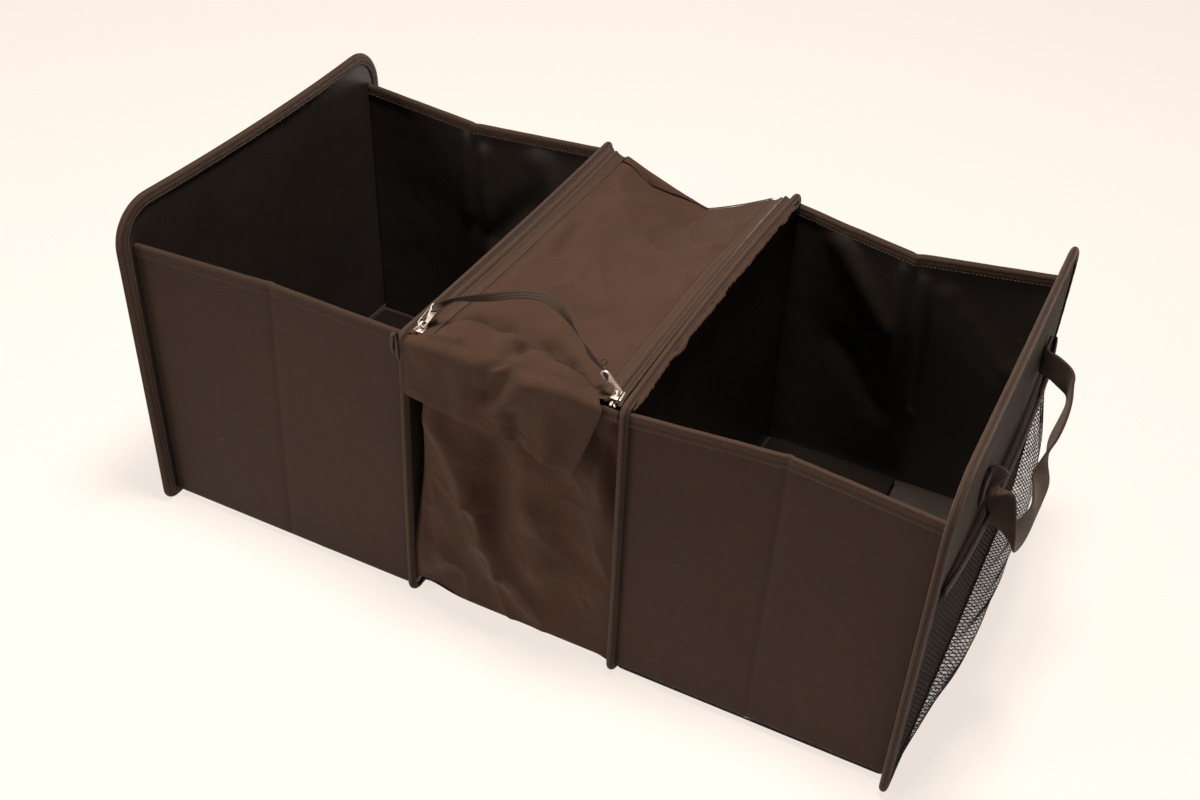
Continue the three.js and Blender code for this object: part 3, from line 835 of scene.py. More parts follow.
@dataclass
class UprightPanel:
    """A stiff board in cloth with a folded tape round its whole edge.

    Attributes:
        top_radius: The upper corners' radius, and foot_radius the lower ones'.
        tape_width: How far the tape reaches from the edge.
        outer_side: The side of the outer cloth along X, 0 for a panel lined on both sides.
        bow: How far the panel stands off its flat place at a height and depth.
        pucker: How deep the tape's small puckers are.
        roll: How far slack cloth swells the tape's right side along the top.
    """

    name: str
    top_radius: float
    foot_radius: float
    tape_width: float
    outer_side: int
    bow: Bow
    pucker: float = 0.35
    roll: float = 0.0

    def __post_init__(self) -> None:
        """Reads the panel's place from its packed tape."""
        box = Extent.of(f"{self.name}_binding")
        self.x = box.middle.x
        self.half_depth = box.high.y
        self.foot = box.low.z
        self.top = box.high.z
        self.half_thickness = box.size.x / 2
        self.edge, self.perimeter = self.outline()

    def rows(self) -> list[tuple[float, float]]:
        """Heights up the panel with its half depth at each, close together at its corners."""
        made = []
        lower, upper = self.foot_radius, self.top_radius
        for step in range(7):
            turn = math.pi / 2 * step / 6
            drop = lower * (1 - math.sin(turn))
            made.append((self.foot + lower * (1 - math.cos(turn)), self.half_depth - drop))
        low, high = made[-1][0], self.top - upper
        for step in range(1, 20):
            made.append((mix(low, high, step / 20), self.half_depth))
        for step in range(13):
            turn = math.pi / 2 * step / 12
            drop = upper * (1 - math.cos(turn))
            made.append((high + upper * math.sin(turn), self.half_depth - drop))
        return made

    def surface(self, y: float, z: float) -> float:
        """X of the panel's middle plane at a place on it."""
        return self.x + self.bow(y, z)

    def build(self, maker: Maker, sewing: Sewing) -> None:
        """Makes the board and its binding."""
        inset = 1.6
        rows = self.rows()

        def place(u: float, v: float) -> Vector:
            height, half = rows[round(v * (len(rows) - 1))]
            height = min(self.top - inset, max(self.foot + inset, height))
            y = (2 * u - 1) * (half - inset)
            wave = 0.9 * ripple(y / 90, height / 90, self.x)
            return Vector((self.surface(y, height) + wave, y, height))

        size = (2 * self.half_depth, self.top - self.foot)
        bm = cloth_grid((44, len(rows) - 1), size, place)
        faces = (Finish.OUTER_CLOTH, Finish.LINING)
        if self.outer_side < 0:
            faces = faces[::-1]
        if self.outer_side == 0:
            faces = (Finish.LINING, Finish.LINING)
        piece = Piece(f"{self.name}_panel_board", "panel_cloth", (f"{self.name}_panel",))
        maker.sheet(piece, bm, 4.0, faces[0], faces[1], offset=0.0)
        self.bind(maker, sewing)
        if self.roll:
            self.rolled_edge(maker)

    def rolled_edge(self, maker: Maker) -> None:
        """Makes the slack roll of cloth under the tape along the panel's upper right edge."""
        reach = self.half_depth - self.top_radius - 1
        centre_x = self.half_thickness + 1.7
        below_top = 4.8

        def place(u: float, v: float) -> Vector:
            y = mix(-reach, reach, u)
            turn = 2 * math.pi * v
            ends = 0.3 + 0.7 * smooth(min(u, 1 - u) / 0.04)
            radius = ends * (1.9 + 1.2 * ripple(y / 3.2, 1.3, 2.0) + 0.7 * ripple(y / 13, 4.0, 1.0))
            z = self.top - below_top + 2.2 * ripple(y / 16, 3.0, 3.0)
            x = self.surface(y, z) + centre_x + 1.6 * ripple(y / 21, 0.5, 7.0)
            return Vector((x + 1.2 * radius * math.cos(turn), y, z + radius * math.sin(turn)))

        bm = close_tube(cloth_grid((170, 12), (2 * reach, 11), place))
        # The roll takes the lighter soft cloth as a painted highlight, for the light it catches.
        maker.plain(Piece(f"{self.name}_rolled_edge", "binding_tape"), bm, Finish.SOFT_CLOTH)

    def outline(self) -> tuple[list[tuple[Vector, Vector]], float]:
        """Even points round the panel's edge with the direction outwards at each, and their run."""
        points: list[tuple[Vector, Vector]] = []
        half, lower, upper = self.half_depth, self.foot_radius, self.top_radius
        corners = (
            (half - lower, self.foot + lower, lower, -90),
            (half - upper, self.top - upper, upper, 0),
            (upper - half, self.top - upper, upper, 90),
            (lower - half, self.foot + lower, lower, 180),
        )
        for y, z, radius, start in corners:
            for step in range(17):
                turn = math.radians(start + 90 * step / 16)
                out = Vector((math.cos(turn), math.sin(turn)))
                points.append((Vector((y, z)) + radius * out, out))
        points.append(points[0])
        lengths = [0.0]
        for (a, _), (b, _) in zip(points, points[1:]):
            lengths.append(lengths[-1] + (b - a).length)
        count = int(lengths[-1] / TAPE_STEP)
        even = []
        at = 0
        for index in range(count + 1):
            want = lengths[-1] * index / count
            while at < len(lengths) - 2 and lengths[at + 1] < want:
                at += 1
            span = max(1e-9, lengths[at + 1] - lengths[at])
            share = min(1.0, (want - lengths[at]) / span)
            spot = points[at][0].lerp(points[at + 1][0], share)
            out = points[at][1].lerp(points[at + 1][1], share).normalized()
            even.append((spot, out))
        return even, lengths[-1]

    def on_tape(self, index: float, across: float, lift: float = 0.0) -> Vector:
        """A point on the binding.

        Args:
            index: Which of the outline's points, and how far past it.
            across: Millimetres round the tape's section from the edge's crown, below 0 towards -X.
            lift: Millimetres above the tape's face.

        Returns:
            The point.
        """
        edge = self.edge
        count = len(edge) - 1
        whole = int(index) % count
        share = index - int(index)
        spot = edge[whole][0].lerp(edge[(whole + 1) % count][0], share)
        out = edge[whole][1].lerp(edge[(whole + 1) % count][1], share)
        radius = self.half_thickness - 0.5
        quarter = radius * math.pi / 2
        side = 1 if across > 0 else -1
        travel = abs(across)
        if travel < quarter:
            turn = travel / radius
            off, back = (radius + lift) * math.sin(turn), radius - (radius + lift) * math.cos(turn)
        else:
            off, back = radius + lift, radius + travel - quarter
        spread = smooth((travel - quarter * 0.6) / 4)
        run = index * TAPE_STEP
        wave = self.pucker * spread * ripple(run / 5.5, side * 7.3, self.x)
        wave += self.pucker * 0.6 * spread * ripple(run / 2.6, side * 3.1, self.x)
        heavy = self.roll * smooth((spot.y + HALF_DEPTH) / 40) if spot.y < HALF_DEPTH else 0.0
        if heavy and out.y > 0.8 and side > 0:
            wave += heavy * (0.5 + ripple(run / 7.0, 1.7, 4.0)) * smooth(travel / 3)
        y, z = spot - out * back
        return Vector((self.surface(y, z) + side * (off + wave), y, z))

    def bind(self, maker: Maker, sewing: Sewing) -> None:
        """Makes the tape round the edge, and its stitches."""
        count = len(self.edge) - 1
        quarter = (self.half_thickness - 0.5) * math.pi / 2
        reach = quarter + self.tape_width - (self.half_thickness - 0.5)

        def place(u: float, v: float) -> Vector:
            return self.on_tape(u * count, (2 * v - 1) * reach)

        bm = cloth_grid((count, 10), (self.perimeter, 2 * reach), place)
        bmesh.ops.remove_doubles(bm, verts=bm.verts[:], dist=10 * TOUCHING)
        piece = Piece(f"{self.name}_edge_binding", "binding_tape", (f"{self.name}_binding",))
        maker.sheet(piece, bm, 1.0, Finish.BINDING, offset=0.0)
        for side in (-1, 1):

            def path(share: float, across: float = side * (reach - 1.6)) -> Vector:
                return self.on_tape(share * count, across, 0.62)

            sewing.add(self.name, StitchLine(path, self.perimeter))


# The folding walls of the two bins


def taped_edge(
    steps: int,
    length: float,
    top: Callable[[float], Vector],
    outwards: int,
    half: float,
    reach: float,
) -> tuple[BMesh, Callable[..., Vector]]:
    """A tape folded over an edge that runs along X.

    Args:
        steps: How many cells it has along the edge.
        length: The edge's length in millimetres.
        top: The crown of the edge at a share of its length.
        outwards: 1 where the tape's outer side looks to the back, -1 to the front.
        half: Half the tape's thickness over the edge.
        reach: How far down it reaches on each side.

    Returns:
        The tape as a bmesh, and the place on it at a share along it and millimetres across.
    """
    arc = half * math.pi / 2

    def on_tape(share: float, across: float, lift: float = 0.0) -> Vector:
        crown = top(share)
        side = 1 if across > 0 else -1
        travel = abs(across)
        if travel < arc:
            turn = travel / half
            off, down = (half + lift) * math.sin(turn), half - (half + lift) * math.cos(turn)
        else:
            off, down = half + lift, half + travel - arc
        wave = 0.3 * smooth(travel / 6) * ripple(share * length / 5.0, side * 5.1, crown.y)
        return crown + Vector((0, side * (off + wave), -down))

    widest = arc + reach - half

    def place(u: float, v: float) -> Vector:
        if outwards < 0:
            return on_tape(u, (2 * v - 1) * widest)
        return on_tape(1 - u, (1 - 2 * v) * widest)

    return cloth_grid((steps, 12), (length, 2 * widest), place), on_tape


@dataclass
class BinWall:
    """A folding wall: a board in cloth on each side of a middle crease, with a taped upper edge.

    Attributes:
        side: -1 for a front wall and 1 for a back one.
        depth: How far the crease's top is folded in, and dip how far it drops.
        tape: The finish of the tape.
        billow: How far the boards swell outwards.
        rise: How far the upper edge is drawn up, at the share rise_at of its length.
        foot_lift: How far the foot stays above the other walls' feet.
        creases: Its soft folds, by millimetres from its middle and heights.
    """

    name: str
    left: UprightPanel
    right: UprightPanel
    side: int
    depth: float
    dip: float
    tape: Finish
    billow: float = 1.6
    rise: float = 0.0
    rise_at: float = 1.0
    foot_lift: float = 0.0
    creases: tuple[Crease, ...] = ()

    def __post_init__(self) -> None:
        """Reads the wall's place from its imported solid."""
        box = Extent.of(f"{self.name}_wall")
        self.outer_y = box.low.y if self.side < 0 else box.high.y
        self.foot = box.low.z - WALL_BELOW_SOLID + self.foot_lift
        self.top = box.high.z

    def point(self, share: float, up: float) -> Vector:
        """A point of the wall's outer face, at shares of its length and height."""
        z = mix(self.foot, self.top, up)
        y = self.outer_y
        x0 = self.left.surface(y, z) + PANEL_TO_WALL
        x1 = self.right.surface(y, z) - PANEL_TO_WALL
        x = mix(x0, x1, share)
        fold = (1 - abs(2 * share - 1)) * up
        groove = 1.3 * bell((share - 0.5) * (x1 - x0), 2.2)
        across = math.sin(math.pi * min(1.0, 2 * min(share, 1 - share)))
        board = across * math.sin(math.pi * min(1, up * 1.1))
        billow = self.billow * board * (0.6 + 0.8 * ripple(share * 2.4, up * 1.7, self.outer_y + x0))
        edge = smooth(min(share, 1 - share) / 0.06)
        fine = 0.35 * edge * ripple(x / 16, z / 22, self.side * 3.0)
        wrinkle = edge * creased(self.creases, x - (x0 + x1) / 2, z)
        y += self.side * (billow + fine - groove - self.depth * fold - wrinkle)
        lifted = self.rise * max(0.0, 1 - abs(share - self.rise_at) / 0.55) ** 1.3
        return Vector((x, y, z + (lifted - self.dip * fold) * up))

    def build(self, maker: Maker, sewing: Sewing) -> None:
        """Makes the wall, its tape and their stitches."""
        length = self.right.x - self.left.x - 2 * PANEL_TO_WALL
        height = self.top - self.foot

        def place(u: float, v: float) -> Vector:
            return self.point(u if self.side < 0 else 1 - u, v)

        middle = (self.left.x + self.right.x) / 2

        def thin(spot: Vector) -> float:
            return 1 - 0.6 * bell(spot.x - middle, 2.4)

        bm = cloth_grid((84, 46), (length, height), place)
        piece = Piece(f"{self.name}_wall_cloth", "panel_cloth", (f"{self.name}_wall",))
        maker.sheet(piece, bm, 3.5, Finish.OUTER_CLOTH, Finish.LINING, thin=thin)
        self.edge(maker, sewing, length)

    def edge(self, maker: Maker, sewing: Sewing, length: float) -> None:
        """Makes the tape over the upper edge."""
        lift = Vector((0, -self.side * 1.75, 1.5))

        def crown(share: float) -> Vector:
            return self.point(mix(0.005, 0.995, share), 1.0) + lift

        bm, on_tape = taped_edge(110, length - 2, crown, self.side, half=2.5, reach=11.0)
        piece = Piece(f"{self.name}_upper_tape", "binding_tape", (f"{self.name}_top_tape",))
        maker.sheet(piece, bm, 0.9, self.tape, offset=0.0)
        for side in (-1, 1):

            def path(share: float, across: float = side * 11.2) -> Vector:
                return on_tape(share, across, 0.55)

            sewing.add(self.name, StitchLine(path, length - 4))


# The zipped middle compartment


@dataclass
class Cooler:
    """The soft compartment between the dividers, with its walls, its lid and its flap."""

    left: UprightPanel
    right: UprightPanel

    front_folds: tuple[Crease, ...] = (
        Crease((-66, 200), (-36, 138), 10, 13, 1.5),
        Crease((-36, 138), (-6, 64), 11, 11, 1.5),
        Crease((-6, 64), (26, 16), 6, 13, 1.3),
        Crease((-78, 24), (-26, 92), 7, 11, 1.6),
        Crease((-12, 214), (-14, 124), -11, 17),
        Crease((12, 205), (30, 90), 7, 20),
        Crease((0, 118), (24, 146), 2.2, 11),
        Crease((52, 170), (70, 60), -3.0, 22),
        Crease((78, 235), (82, 120), 2.2, 13),
        Crease((-84, 240), (-80, 60), -3, 10),
        Crease((60, 262), (88, 225), -9, 16),
        Crease((-52, 30), (-38, 80), -3, 10),
    )
    lid_folds: tuple[Crease, ...] = (
        Crease((-62, 166), (-22, 100), 4.5, 15, 1.6),
        Crease((-22, 100), (14, 34), 4.0, 20, 1.6),
        Crease((-30, 124), (36, 50), -3.0, 12),
        Crease((-24, 100), (-8, 86), -3.2, 5.5),
        Crease((-57, 176), (24, 152), -4.5, 4.0, 1.4),
        Crease((-46, 34), (-40, -8), -2.8, 6),
        Crease((-58, 34), (-52, -30), 2.0, 8),
        Crease((82, 70), (22, 24), 2.2, 15, 1.6),
        Crease((84, 0), (10, -40), 1.8, 16),
        Crease((80, 120), (30, 100), 2.0, 14),
        Crease((14, -70), (38, -62), -3.4, 6),
        Crease((20, -82), (46, -96), 1.6, 9),
        Crease((-20, -60), (16, -100), 1.6, 18),
        Crease((-74, -158), (-36, -160), 7, 20),
        Crease((-36, -160), (10, -158), 7, 20),
        Crease((10, -158), (54, -166), 7, 20),
        Crease((54, -166), (86, -178), 5.5, 17),
        Crease((-60, -150), (-45, -132), -8, 7),
        Crease((-45, -132), (-28, -127), -7, 9),
        Crease((-28, -127), (17, -134), -8, 11),
        Crease((17, -134), (44, -150), -10, 11),
        Crease((44, -150), (74, -166), -10, 10),
        Crease((2, -176), (12, -163), -5.5, 6),
        Crease((12, -163), (23, -152), -6, 4.8),
        Crease((26, -151), (28, -149), 4, 4),
    )
    flap_folds: tuple[Crease, ...] = (
        Crease((10, -4), (-8, 22), -6, 7, 1.4),
        Crease((22, 2), (6, 34), 4.2, 10),
        Crease((-34, 12), (-26, 46), 2.0, 9),
        Crease((18, 30), (30, 60), -4.6, 8),
        Crease((44, 18), (58, 58), 4.5, 11),
        Crease((-66, 10), (-70, 46), 1.6, 11),
    )

    def __post_init__(self) -> None:
        """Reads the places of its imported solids."""
        wall = Extent.of("cooler_front_wall")
        self.foot = Extent.of("cooler_back_wall").low.z - WALL_BELOW_SOLID
        self.top = wall.high.z
        self.outer_y = 179.0
        self.middle = (self.left.x + self.right.x) / 2
        left_zip = Extent.of("left_zip_lid_tape")
        right_zip = Extent.of("right_zip_lid_tape")
        self.level = left_zip.middle.z
        self.lid_left = left_zip.high.x - 1.6
        self.lid_right = right_zip.low.x + 1.6
        self.zip_front = left_zip.low.y
        lid = Extent.of("cooler_lid")
        self.lid_back = lid.high.y

    def lift(self, x: float) -> float:
        """How far the front wall and the floor are drawn up at their common edge."""
        seam = smooth((100 - abs(x)) / 10)
        return seam * (9 + 9 * bell(x + 80, 18))

    def front_point(self, share: float, up: float) -> Vector:
        """A point of the front wall's outer face."""
        z = mix(self.foot, self.top, up)
        y = -self.outer_y
        x0 = self.left.surface(y, z) + PANEL_TO_WALL
        x1 = self.right.surface(y, z) - PANEL_TO_WALL
        x = mix(x0, x1, share)
        off = x - self.middle
        seam = smooth(min(share, 1 - share) / 0.07) * smooth((1 - up) / 0.16)
        foot = mix(0.35, 1.0, smooth(up / 0.12))
        fold = creased(self.front_folds, off, z) * foot
        small = 1.8 * ripple(off / 26, z / 30, 3.1) + 2.2 * sharp_ripple(off / 34 + z / 70, z / 60, 8.4)
        fine = 0.35 * ripple(off / 9, z / 8, 5.7)
        rise = self.lift(off) * (1 - up)
        return Vector((x, y + self.recess(share, up) - seam * (fold + small + fine), z + rise))

    def recess(self, share: float, up: float) -> float:
        """How far the front wall is drawn in beside the dividers."""
        left = 20 * (1 - smooth(share / (0.04 + 0.055 * up))) * smooth((up - 0.12) / 0.4)
        right = 10 * (1 - smooth((1 - share) / 0.09)) * smooth((up - 0.55) / 0.2)
        return (left + right) * smooth((0.985 - up) / 0.06)

    def drop(self, x: float, y: float) -> float:
        """How far the lid lies below its zips at a place."""
        middle = (self.lid_left + self.lid_right) / 2
        half = (self.lid_right - self.lid_left) / 2 + 12
        off = x - middle - 12
        reach = half + (-12 if off > 0 else 12)
        across = max(0.0, 1 - abs(off) / reach)
        round_share = across * (1.6 - 0.6 * across)
        along = clamp((y - self.zip_front) / (self.lid_back - self.zip_front))
        front, back = smooth(along / 0.3), smooth((along - 0.55) / 0.45)
        sag = 9 * front * round_share * (1 - back)
        return sag + 38 * back * (0.35 * round_share + 0.65 * across)

    def lid_top(self, x: float, y: float) -> Vector:
        """A point of the lid between its zips."""
        inside = min(x - self.lid_left, self.lid_right - x)
        edge = smooth(inside / 14)
        back = smooth((self.lid_back - y) / 10)
        fold = creased(self.lid_folds, x, y)
        small = 2.0 * ripple(x / 28, y / 34, 1.2) + 2.8 * sharp_ripple(x / 44 + y / 130, y / 66, 6.6)
        fine = 0.3 * ripple(x / 9, y / 10, 2.2)
        height = edge * (back * (fold + small) + fine) - self.drop(x, y)
        height -= 0.9 * smooth(1 - inside / 3)
        height -= 3.6 * bell(y - self.lid_back + 9, 2.4) * smooth((20 - x) / 30)
        bow = 3.0 * arch(y, HALF_ZIP) * (1 - smooth(inside / 50))
        toward = 1 if x < (self.lid_left + self.lid_right) / 2 else -1
        return Vector((x + toward * bow, y, self.level + 0.2 + height))

    def lid_point(self, across: float, along: float) -> Vector:
        """A point of the lid and its flap.

        Args:
            across: The share of its width, from the left.
            along: The share of its length, from the flap's hem to the back edge.

        Returns:
            The point.
        """
        radius = 6.5
        fold_y = self.zip_front - 0.4
        flap = mix(48, 62, across)
        total = flap + radius * math.pi / 2 + self.lid_back - fold_y
        travel = (1 - along) * total
        top_run = self.lid_back - fold_y
        flat_x = mix(self.lid_left, self.lid_right, across)
        past = travel - top_run
        wide_x = mix(-86.5, 91.0, across)
        if past <= 0:
            top = self.lid_top(flat_x, self.lid_back - travel)
            over = 1 - smooth(-past / 4.5)
            shifted = over * (wide_x - flat_x) * 0.8 * smooth((0.4 - across) / 0.4)
            top.x += shifted
            top.z += 1.4 * smooth(abs(shifted) / 4)
            return top
        arc = radius * math.pi / 2
        near = 0.8 * smooth((0.4 - across) / 0.4)
        x = mix(flat_x, wide_x, near + (1 - near) * smooth(past / 9))
        turn = min(past, arc) / radius
        down = max(0.0, past - arc)
        share = down / flap
        crest = creased(self.lid_folds, flat_x, fold_y) * smooth(min(across, 1 - across) / 0.1)
        keep = crest * (1 - smooth(past / 30)) + 0.45 * crest * smooth(past / 12) * (1 - share)
        ripples = creased(self.flap_folds, x - 4, down) * smooth(past / 8)
        ripples += 0.9 * smooth(share / 0.4) * ripple(x / 17, down / 40, 9.1)
        flare = 7 * share * share * across
        y = fold_y - radius * math.sin(turn) - flare - ripples - 0.5 * keep * smooth(past / 10)
        z = self.level + 0.2 + radius * (math.cos(turn) - 1) - down
        z += keep * (1 - smooth(past / 26))
        curl = 1.4 * smooth((share - 0.8) / 0.2) * ripple(x / 11, 4.4)
        return Vector((x - 18 * share * across, y - curl, z))

    def build(self, maker: Maker, sewing: Sewing) -> None:
        """Makes the compartment's cloth."""
        self.front(maker)
        self.back(maker)
        self.lid(maker, sewing)
        self.front_edge(maker, sewing)
        self.tape_end(maker)

    def front(self, maker: Maker) -> None:
        """Makes the soft front wall."""
        bm = cloth_grid((90, 110), (200, 270), self.front_point)
        piece = Piece("cooler_front_cloth", "lid_cloth", ("cooler_front_wall",))
        made = maker.sheet(piece, bm, 1.4, Finish.SOFT_CLOTH, Finish.LINING)

    def front_edge(self, maker: Maker, sewing: Sewing) -> None:
        """Makes the tape over the front wall's upper edge."""

        def crown(share: float) -> Vector:
            return self.front_point(mix(0.02, 0.98, share), 1.0) + Vector((0, 0.7, 0.9))

        bm, on_tape = taped_edge(60, 190, crown, -1, half=1.6, reach=9.5)
        piece = Piece("cooler_front_upper_tape", "binding_tape", ("cooler_front_top_tape",))
        maker.sheet(piece, bm, 0.8, Finish.BINDING, offset=0.0)
        sewing.add("cooler", StitchLine(lambda share: on_tape(share, -9.3, 0.5), 186))

    def back(self, maker: Maker) -> None:
        """Makes the soft back wall, which hangs from the lid's back edge."""

        def place(u: float, v: float) -> Vector:
            x = mix(self.right.x - PANEL_TO_WALL, self.left.x + PANEL_TO_WALL, u)
            inside = clamp(x, self.lid_left + 0.5, self.lid_right - 0.5)
            top = min(self.level - 1.2 - self.drop(inside, self.lid_back), self.top)
            z = mix(self.foot, top, v)
            x0 = self.left.surface(self.outer_y, z) + PANEL_TO_WALL
            x1 = self.right.surface(self.outer_y, z) - PANEL_TO_WALL
            x = mix(x1, x0, u)
            seam = smooth(min(u, 1 - u) / 0.08) * smooth(v / 0.1)
            slack = smooth((1 - v) / 0.08)
            sag = 7 * math.sin(math.pi * v) * math.sin(math.pi * u)
            folds = 2.6 * ripple(x / 34, z / 60, 7.7) + 2.4 * sharp_ripple(x / 50 - z / 120, z / 90, 2.5)
            lean = 5.0 * bell(x - 20, 60) * smooth((v - 0.6) / 0.4) * slack
            return Vector((x, self.outer_y - seam * slack * (sag * 0.5 - folds) - lean, z))

        bm = cloth_grid((64, 72), (200, 250), place)
        piece = Piece("cooler_back_cloth", "lid_cloth", ("cooler_back_wall",))
        made = maker.sheet(piece, bm, 1.4, Finish.SOFT_CLOTH, Finish.LINING)

    def tape_end(self, maker: Maker) -> None:
        """Makes the small folded end of tape at the top of the left divider's front edge."""
        edge = self.left.surface(-181, 270)
        points = [
            Vector((edge - 9.5 + out, -180.4 - proud, z))
            for out, proud, z in (
                (-1.5, 0.0, 262), (-0.5, 2.4, 270), (1.0, 3.4, 278), (3.2, 3.6, 282.5), (5.0, 4.2, 279),
                (5.6, 4.4, 271), (5.2, 3.6, 264), (4.6, 2.4, 259),
            )
        ]  # fmt: skip
        sides = [Vector((0.75, -0.6, 0.1)) for _ in points]

        def place(u: float, v: float) -> Vector:
            return ribbon_point(points, sides, u, (v - 0.5) * 7)

        bm = cloth_grid((36, 6), (44, 7), place)
        piece = Piece("left_divider_tape_end", "binding_tape")
        maker.sheet(piece, bm, 0.9, Finish.BINDING, offset=0.0)

    def lid(self, maker: Maker, sewing: Sewing) -> None:
        """Makes the lid with its flap, hem and stitches."""
        bm = cloth_grid((72, 164), (170, 422), self.lid_point)
        piece = Piece("cooler_lid_cloth", "lid_cloth", ("cooler_lid",))
        made = maker.sheet(piece, bm, 1.1, Finish.SOFT_CLOTH, Finish.LINING)

        self.back_tape(maker)

        def row(across: float, start: float, end: float, length: float, lift: Vector) -> StitchLine:
            return StitchLine(lambda share: self.lid_point(across, mix(start, end, share)) + lift, length)

        up, out = Vector((0, 0, 0.3)), Vector((0, -0.3, 0))
        hem = StitchLine(lambda share: self.lid_point(mix(0.01, 0.99, share), 0.024) + out, 170)
        sides = [row(across, 0.155, 0.995, 350, up) for across in (0.022, 0.978)]
        side_hems = [row(across, 0.004, 0.13, 52, out) for across in (0.02, 0.98)]
        sewing.add("lid", *sides, hem, *side_hems)

    def back_tape(self, maker: Maker) -> None:
        """Makes the loose tape along the lid's back edge, wider to the left."""

        def place(u: float, v: float) -> Vector:
            x = mix(self.lid_left + 1.5, self.lid_right - 1.5, u)
            width = mix(9.0, 2.0, smooth((x + 25) / 45))
            spot = self.lid_top(x, self.lid_back - 0.2 - width * v)
            spot.z += 1.0 + 1.6 * v * smooth((width - 2) / 7)
            return spot

        bm = cloth_grid((60, 6), (170, 9), place)
        piece = Piece("lid_back_edge_tape", "binding_tape")
        maker.sheet(piece, bm, 0.8, Finish.SOFT_CLOTH, offset=0.0)


@dataclass
class Zip:
    """A zip with its two tapes folded back over their teeth, along one divider.

    Attributes:
        outwards: The side of the divider's tape along X.
        sink: How far the lid lies below its zips at a place.
    """

    name: str
    outwards: int
    sink: Bow

    def __post_init__(self) -> None:
        """Reads the zip's place from its packed tapes and slider."""
        outer = Extent.of(f"{self.name}_zip_divider_tape")
        inner = Extent.of(f"{self.name}_zip_lid_tape")
        self.outer_width = outer.size.x
        self.inner_width = inner.size.x
        self.low = outer.low.y
        self.high = outer.high.y
        self.level = outer.middle.z
        self.x = Extent.of(f"{self.name}_zip_slider").middle.x

    def tape_point(self, toward: int, share: float, across: float, lift: float = 0.0) -> Vector:
        """A point of a tape's upper face.

        Args:
            toward: 1 or -1, the side of the slit along X that the tape is on.
            share: How far along the tape, from its front end.
            across: Millimetres from the slit.
            lift: Millimetres above the tape.

        Returns:
            The point.
        """
        y = mix(self.low, self.high, share)
        roll = 1.5 * bell(across - 2.0, 1.5)
        dip = 1.9 * smooth((0.9 - across) / 0.9)
        wave = 0.5 * ripple(y / 24, toward * 2.0, self.x) * smooth((across - 2) / 4)
        x = self.slit(y) + toward * (0.25 + across + self.splay(toward, y))
        sunk = self.sink(x, y) if toward == -self.outwards else 0.0
        return Vector((x, y, self.level + 0.45 + roll - dip + wave + lift - sunk))

    def gape(self, y: float) -> float:
        """How far open the zip is in front of its slider, from 0 to 1."""
        return smooth((self.low + 8 - y) / 9)

    def splay(self, toward: int, y: float) -> float:
        """How far a tape lies aside where its zip is open, most on the right zip's lid side."""
        wide = toward == -self.outwards and self.outwards > 0
        return (6.5 if wide else 1.4) * self.gape(y)

    def slit(self, y: float) -> float:
        """X of the zip's slit, which the slack lid draws a little to the middle."""
        return self.x - self.outwards * 3.0 * arch(y, HALF_ZIP)

    def build(self, maker: Maker, sewing: Sewing) -> None:
        """Makes both tapes, their stitches and the bare teeth."""
        for label, toward, width in (
            ("divider", self.outwards, self.outer_width - 3.5),
            ("lid", -self.outwards, self.inner_width),
        ):
            self.tape(maker, sewing, label, toward, width)
            self.teeth(maker, label, toward)

    def tape(self, maker: Maker, sewing: Sewing, label: str, toward: int, width: float) -> None:
        """Makes one tape and the two rows of stitches along it."""

        def place(u: float, v: float) -> Vector:
            return self.tape_point(toward, u, width * (v if toward > 0 else 1 - v))

        bm = cloth_grid((120, 12), (self.high - self.low, width), place)
        node = f"{self.name}_zip_{label}_tape"
        piece = Piece(f"{node}_cloth", "zip_tape", (node,))
        maker.sheet(piece, bm, 0.7, Finish.ZIP_TAPE, offset=0.0)
        for seam in (3.9, width - 1.2):

            def path(share: float, across: float = seam) -> Vector:
                return self.tape_point(toward, share, across, 0.4)

            row = StitchLine(path, self.high - self.low, pitch=3.0, stitch=2.2, radius=0.36)
            sewing.add(f"{self.name}_zip", row)

    def teeth(self, maker: Maker, label: str, toward: int) -> None:
        """Makes the coil of teeth under one tape, a loop for each tooth."""
        node = f"{self.name}_zip_{label}_teeth"
        box = Extent.of(node)
        bm = bmesh.new()
        pitch = 1.4
        count = int(box.size.y / pitch)
        for index in range(count):
            y = box.low.y + (index + 0.5) * pitch
            near = y < box.low.y + 24
            size = Matrix.Diagonal((1.35, 0.5, 1.0 if near else 0.9, 1))
            opened = self.gape(y)
            x = self.slit(y) + toward * (0.9 + self.splay(toward, y) - 1.6 * opened)
            spot = Vector((x, y + 0.3 * toward, box.middle.z + 0.5 + 1.2 * opened))
            add_bead(bm, (7, 4), TO_METRES @ Matrix.Translation(spot) @ size)
        maker.plain(Piece(f"{node}_coil", "zip_teeth", (node,)), bm, Finish.TEETH)


